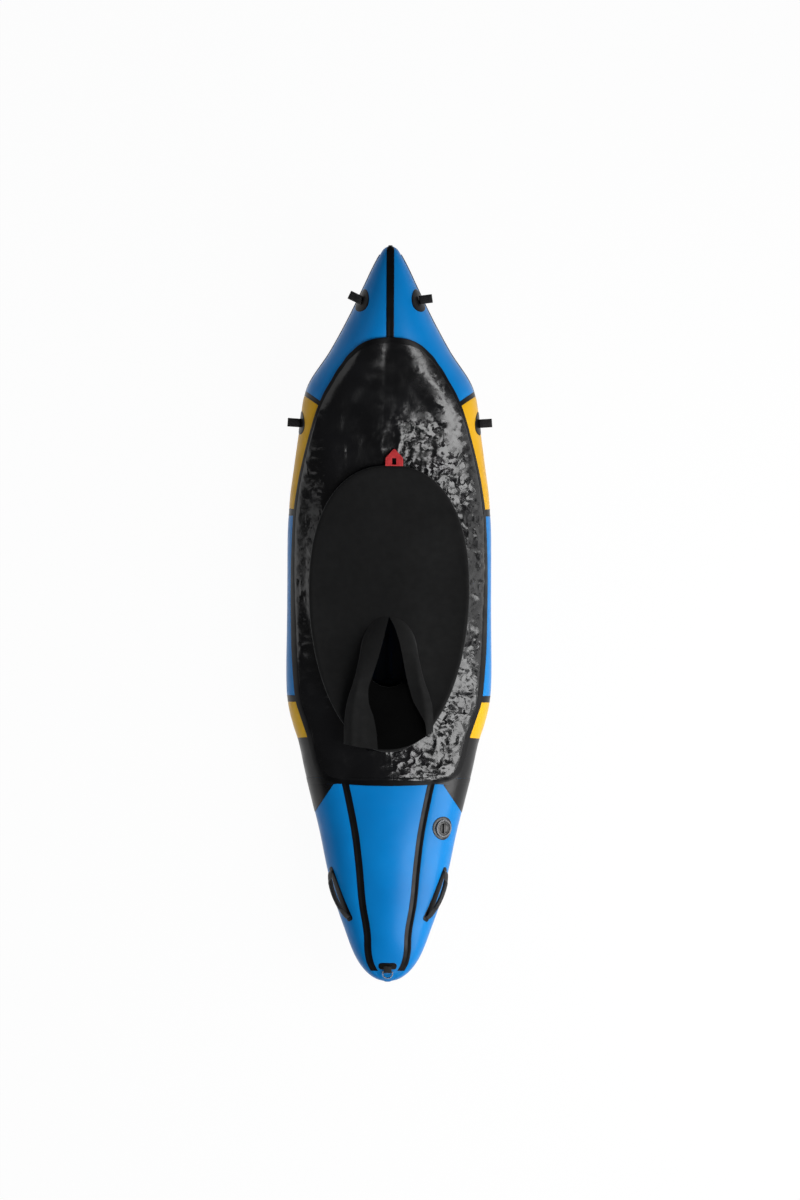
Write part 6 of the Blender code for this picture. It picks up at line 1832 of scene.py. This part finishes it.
def build_cushion(name, body, sizes, origin, axes, drawn, reach, channels):
    """A cushion and its edge weld. Its sizes are half its width, half its depth and its height."""
    base = (np.array(origin, float), *np.array(axes, float))
    obj = cushion_mesh(name + "_cushion", *sizes, base, drawn)
    inflate(obj, reach)
    draw_in(obj, *sizes, base, channels)
    modifier = obj.modifiers.new("smooth", "SUBSURF")
    modifier.levels = 1
    modifier.render_levels = 1
    finish_piece(obj, "seat", body, name)
    finish_piece(edge_weld(name + "_edge_weld", *sizes, base), "seat", body)


def build_seat():
    floor = FLOOR_THICKNESS + FIT_GAP
    sizes = (SEAT_HALF_WIDTH, (SEAT_FRONT - SEAT_REAR) / 2, SEAT_HEIGHT)
    origin = (0, (SEAT_FRONT + SEAT_REAR) / 2, floor)
    build_cushion("seat", "hull", sizes, origin, np.eye(3), 0.008, 0.010, (-0.065, 0.0, 0.065))
    bottom = floor + BACKREST_GAP
    sizes = (BACKREST_HALF_WIDTH, (BACKREST_TOP - bottom) / 2, BACKREST_THICKNESS)
    origin = (0, SEAT_REAR - BACKREST_GAP, (bottom + BACKREST_TOP) / 2)
    axes = ((1, 0, 0), (0, 0, 1), (0, -1, 0))
    build_cushion("backrest", "backrest", sizes, origin, axes, 0.007, 0.008, (-0.045, 0.045))
    spot = (SEAT_HALF_WIDTH - CUSHION_CORNER, SEAT_FRONT - CUSHION_CORNER, floor + SEAT_HEIGHT - 0.006)
    stub = revolve("seat_valve_stub", SEAT_VALVE_PROFILE, (np.array(spot), *np.eye(3)), 40, ring=False)
    finish_piece(stub, "plastic", "hull")


def build_back_strap():
    """The strap behind the backrest, from a tab on one tube's inner wall to the other."""
    s = LENGTH / 2 - (SEAT_REAR - BACKREST_GAP - BACKREST_THICKNESS - BACK_STRAP_SETBACK)
    angle = math.pi - math.asin((BACK_STRAP_HEIGHT - axis_height(s)) / tube_half_height(s))
    outline = circle(STRAP_TAB_RADIUS, 48)
    place = s + BACK_STRAP_END / 2
    for side, word in SIDES:
        tab = tube_patch("strap_tab_disc_" + word, place, angle, side, outline, PATCH_THICKNESS)
        finish_piece(tab, "tape", "hull", "strap_tab_" + word)
    lift = 2 * CURVE_GAP + PATCH_THICKNESS + BACK_STRAP_LIFT + BACK_STRAP_THICKNESS / 2
    places = np.linspace(s + BACK_STRAP_END, s + BACK_STRAP_SETBACK, 8)
    wall = tube(places, angle, lift, 1, False)
    reach = wall[-1, 0] - BACK_STRAP_SETBACK
    y = along(s) + BACK_STRAP_THICKNESS / 2
    straight = xyz(np.linspace(reach, -reach, 24), y, BACK_STRAP_HEIGHT)
    corner = wall[-1:] * 0.35 + straight[:1] * 0.65 + np.array((0.004, 0.002, 0))
    path = np.concatenate((wall, corner, straight, corner * (-1, 1, 1), wall[::-1] * (-1, 1, 1)))
    obj = ribbon("backrest_strap_band", path, np.array((0, 0, 1.0)), BACK_STRAP_WIDTH, BACK_STRAP_THICKNESS)
    finish_piece(obj, "webbing", "hull", "backrest_strap")


# Studio

def add_softbox(name, place, target, size, power):
    data = bpy.data.lights.new(name, "AREA")
    data.shape = "RECTANGLE"
    data.size, data.size_y = size
    data.energy = power
    obj = place_object(name, data)
    obj.location = place
    obj.rotation_mode = "QUATERNION"
    obj.rotation_quaternion = (Vector(target) - Vector(place)).to_track_quat("-Z", "Y")


def seen_directly(tree):
    """1 for rays that see the white paper (camera, mirror, glass), and 1 for the camera's rays alone."""
    path = add_node(tree, "LightPath").node.outputs
    mirrored = add_node(tree, "Math", MAXIMUM, (path["Is Glossy Ray"], path["Is Transmission Ray"]))
    return add_node(tree, "Math", MAXIMUM, (path["Is Camera Ray"], mirrored)), path["Is Camera Ray"]


def build_floor_plane(settings):
    """White studio paper, rolled out: even and matt, and it keeps the boat's shadow."""
    shape = bmesh.new()
    size = settings.floor_size
    corners = ((-1, -1), (1, -1), (1, 1), (-1, 1))
    shape.faces.new([shape.verts.new((x * size, y * size, -FLOOR_PLANE_DROP)) for x, y in corners])
    mesh = bpy.data.meshes.new("studio_floor")
    shape.to_mesh(mesh)
    shape.free()
    obj = place_object("studio_floor", mesh)
    made = bpy.data.materials.new("studio_paper")
    made.use_nodes = True
    tree = made.node_tree
    tree.nodes.clear()
    paper = add_node(tree, "BsdfDiffuse", None, {"Color": linear("#f4f4f4")})
    glow = add_node(tree, "Emission", None, {"Color": (1, 1, 1, 1), "Strength": settings.floor_glow})
    share = add_node(tree, "Math", MULTIPLY, (seen_directly(tree)[0], settings.floor_white))
    add_node(tree, "OutputMaterial", None, (add_node(tree, "MixShader", None, (share, paper, glow)),))
    mesh.materials.append(made)


def build_world(settings):
    """A pale room, a little brighter on the boat's right, behind a plain white backdrop."""
    world = bpy.data.worlds.new("studio")
    world.use_nodes = True
    tree = world.node_tree
    tree.nodes.clear()
    direction = add_node(tree, "TexCoord", output="Generated")
    where = add_node(tree, "SeparateXYZ", None, (direction,)).node.outputs
    ends = (settings.fill * 0.85, settings.fill * 1.3)
    level = add_node(tree, "MapRange", SMOOTH, (where["X"], -0.8, 0.8, *ends))
    room = add_node(tree, "Background", None, {"Color": linear("#e9eef5"), "Strength": level})
    seen, camera = seen_directly(tree)
    ceiling = add_node(tree, "MapRange", SMOOTH, (where["Z"], 0.05, 0.26, 1.0, settings.ceiling))
    level = add_node(tree, "Math", MAXIMUM, (ceiling, camera))
    paper = add_node(tree, "Background", None, {"Color": (1, 1, 1, 1), "Strength": level})
    add_node(tree, "OutputWorld", None, (add_node(tree, "MixShader", None, (seen, room, paper)),))
    bpy.context.scene.world = world


def build_camera(settings):
    data = bpy.data.cameras.new("camera")
    data.sensor_width = SENSOR_WIDTH
    data.sensor_fit = "AUTO"
    data.lens = SENSOR_WIDTH * settings.camera_distance / settings.frame_height
    data.clip_start = 0.1
    data.clip_end = 200.0
    obj = place_object("camera", data)
    obj.location = (settings.aim_x, settings.aim_y, CAMERA_AIM_HEIGHT + settings.camera_distance)
    obj.rotation_euler = (0, 0, settings.roll)
    bpy.context.scene.camera = obj


def build_studio(settings):
    bpy.context.scene.view_settings.view_transform = "Standard"
    build_world(settings)
    build_floor_plane(settings)
    add_softbox("key_right", (2.8, -1.0, 2.7), (0.15, -0.2, 0.25), (1.9, 4.0), settings.key)
    add_softbox("fill_left", (-3.4, 0.9, 2.4), (-0.1, 0.1, 0.25), (1.4, 3.4), settings.side)
    add_softbox("rear_top", (0.6, -3.6, 2.6), (0.1, -0.6, 0.3), (2.0, 1.0), settings.rear)
    build_camera(settings)


# The add-on

def shade(name, description, code):
    return bpy.props.FloatVectorProperty(
        name=name, description=description, default=linear(code), size=4, min=0.0, max=1.0, subtype="COLOR"
    )


def factor(name, description, default, most=1.0):
    return bpy.props.FloatProperty(
        name=name, description=description, default=default, min=0.0, max=most, subtype="FACTOR"
    )


def measure(name, description, default, unit, least=0.0):
    return bpy.props.FloatProperty(name=name, description=description, default=default, min=least, unit=unit)


class PackraftColours(bpy.types.PropertyGroup):
    """The deep and the pale shade of each bright fabric, which drifts between them"""

    blue_deep: shade("Blue, deep", "Deep shade of the blue panels", "#0078c2")
    blue_pale: shade("Blue, pale", "Pale shade of the blue panels", "#0085d2")
    yellow_deep: shade("Yellow, deep", "Deep shade of the yellow panels", "#e2a80c")
    yellow_pale: shade("Yellow, pale", "Pale shade of the yellow panels", "#f0b918")
    red_deep: shade("Red, deep", "Deep shade of the pull tab", "#be282c")
    red_pale: shade("Red, pale", "Pale shade of the pull tab", "#d23638")


class PackraftSizes(bpy.types.PropertyGroup):
    """How strong the cloth's own forms are, as shares of the real ones"""

    seam_pinch: factor("Seam pinch", "How far the skin draws in at the cross seams", 1.0, 2.0)
    deck_creases: factor("Deck creases", "Height of the creases in the spray deck", 1.0, 2.0)
    skirt_sag: factor("Skirt sag", "How far the skirt hangs between coaming and tunnel", 1.0, 2.0)


class PackraftStudio(bpy.types.PropertyGroup):
    """The lamps, the floor and the camera"""

    key: measure("Key light", "Power of the softbox on the boat's right", 150.0, "POWER")
    side: measure("Side light", "Power of the softbox on the boat's left", 8.0, "POWER")
    rear: measure("Rear light", "Power of the softbox behind the stern", 22.0, "POWER")
    fill: factor("Fill", "Brightness of the room all round", 0.27, 10.0)
    ceiling: factor("Ceiling", "Brightness of the ceiling in reflections", 0.05)
    floor_white: factor("Floor white", "Share of plain white that is seen on the floor", 0.96)
    floor_glow: factor("Floor glow", "Strength of that white", 1.0)
    floor_size: measure("Floor half size", "Half the floor's side", 14.0, "LENGTH", 1.0)
    camera_distance: measure("Camera distance", "Height of the camera above the deck", 60.0, "LENGTH", 1.0)
    frame_height: measure("Frame height", "Height of the picture at the deck", 4.741, "LENGTH", 0.1)
    aim_x: measure("Aim X", "Sideways place of the picture's middle", 0.043, "LENGTH", -10.0)
    aim_y: measure("Aim Y", "Lengthwise place of the picture's middle", 0.055, "LENGTH", -10.0)
    roll: measure("Roll", "Turn of the camera about its own axis", math.radians(0.23), "ROTATION", -3.2)


class PACKRAFT_OT_hull(bpy.types.Operator):
    """Builds the inflated ring and the stern chamber"""

    bl_idname = "packraft.hull"
    bl_label = "Hull panels"

    def execute(self, context):
        build_hull()
        build_stern()
        build_gussets()
        return {"FINISHED"}


class PACKRAFT_OT_tapes(bpy.types.Operator):
    """Builds the welded seam tapes"""

    bl_idname = "packraft.tapes"
    bl_label = "Seam tapes"

    def execute(self, context):
        build_cross_tapes()
        build_long_tapes()
        build_bow_tape()
        return {"FINISHED"}


class PACKRAFT_OT_floor(bpy.types.Operator):
    """Builds the floor sheet"""

    bl_idname = "packraft.floor"
    bl_label = "Floor"

    def execute(self, context):
        build_floor()
        return {"FINISHED"}


class PACKRAFT_OT_deck(bpy.types.Operator):
    """Builds the creased spray deck, its edge strip and the coaming"""

    bl_idname = "packraft.deck"
    bl_label = "Spray deck"

    def execute(self, context):
        build_deck()
        build_coaming()
        return {"FINISHED"}


class PACKRAFT_OT_skirt(bpy.types.Operator):
    """Builds the spray skirt, its waist tunnel and its pull tab"""

    bl_idname = "packraft.skirt"
    bl_label = "Spray skirt"

    def execute(self, context):
        build_skirt()
        build_tunnel()
        build_grab_tab()
        return {"FINISHED"}


class PACKRAFT_OT_ties(bpy.types.Operator):
    """Builds the tie-down patches and loops"""

    bl_idname = "packraft.ties"
    bl_label = "Tie-down points"

    def execute(self, context):
        build_tie_points()
        return {"FINISHED"}


class PACKRAFT_OT_handles(bpy.types.Operator):
    """Builds the carry handles, and the patch, tab and ring at the stern"""

    bl_idname = "packraft.handles"
    bl_label = "Handles and stern ring"

    def execute(self, context):
        for side, word in SIDES:
            build_handle(word, side)
        build_stern_ring()
        return {"FINISHED"}


class PACKRAFT_OT_valve(bpy.types.Operator):
    """Builds the inflation valve"""

    bl_idname = "packraft.valve"
    bl_label = "Inflation valve"

    def execute(self, context):
        build_valve()
        return {"FINISHED"}


class PACKRAFT_OT_seat(bpy.types.Operator):
    """Builds the inflated seat, the backrest and its strap"""

    bl_idname = "packraft.seat"
    bl_label = "Seat and backrest"

    def execute(self, context):
        build_seat()
        build_back_strap()
        return {"FINISHED"}


class PACKRAFT_OT_studio(bpy.types.Operator):
    """Builds the floor, the lights, the world and the camera"""

    bl_idname = "packraft.studio"
    bl_label = "Studio"

    def execute(self, context):
        build_studio(context.scene.packraft_studio)
        return {"FINISHED"}


class PACKRAFT_PT_panel(bpy.types.Panel):
    """Buttons and settings of the packraft's pieces"""

    bl_idname = "PACKRAFT_PT_panel"
    bl_label = "Packraft"
    bl_space_type = "VIEW_3D"
    bl_region_type = "UI"
    bl_category = "Packraft"

    def draw(self, context):
        for operator in STEPS:
            self.layout.operator(operator.bl_idname)
        for group in GROUPS:
            settings = getattr(context.scene, group)
            for name in GROUPS[group].__annotations__:
                self.layout.prop(settings, name)


GROUPS = {
    "packraft_colours": PackraftColours,
    "packraft_sizes": PackraftSizes,
    "packraft_studio": PackraftStudio,
}
STEPS = (
    PACKRAFT_OT_hull,
    PACKRAFT_OT_tapes,
    PACKRAFT_OT_floor,
    PACKRAFT_OT_deck,
    PACKRAFT_OT_skirt,
    PACKRAFT_OT_ties,
    PACKRAFT_OT_handles,
    PACKRAFT_OT_valve,
    PACKRAFT_OT_seat,
    PACKRAFT_OT_studio,
)
CLASSES = (*GROUPS.values(), *STEPS, PACKRAFT_PT_panel)


def register():
    for made in CLASSES:
        bpy.utils.register_class(made)
    for name, group in GROUPS.items():
        setattr(bpy.types.Scene, name, bpy.props.PointerProperty(type=group))


def unregister():
    for name in GROUPS:
        delattr(bpy.types.Scene, name)
    for made in reversed(CLASSES):
        bpy.utils.unregister_class(made)


def main():
    register()
    bpy.ops.packraft.hull()
    bpy.ops.packraft.tapes()
    bpy.ops.packraft.floor()
    bpy.ops.packraft.deck()
    bpy.ops.packraft.skirt()
    bpy.ops.packraft.ties()
    bpy.ops.packraft.handles()
    bpy.ops.packraft.valve()
    bpy.ops.packraft.seat()
    bpy.ops.packraft.studio()


if __name__ == "__main__":
    main()
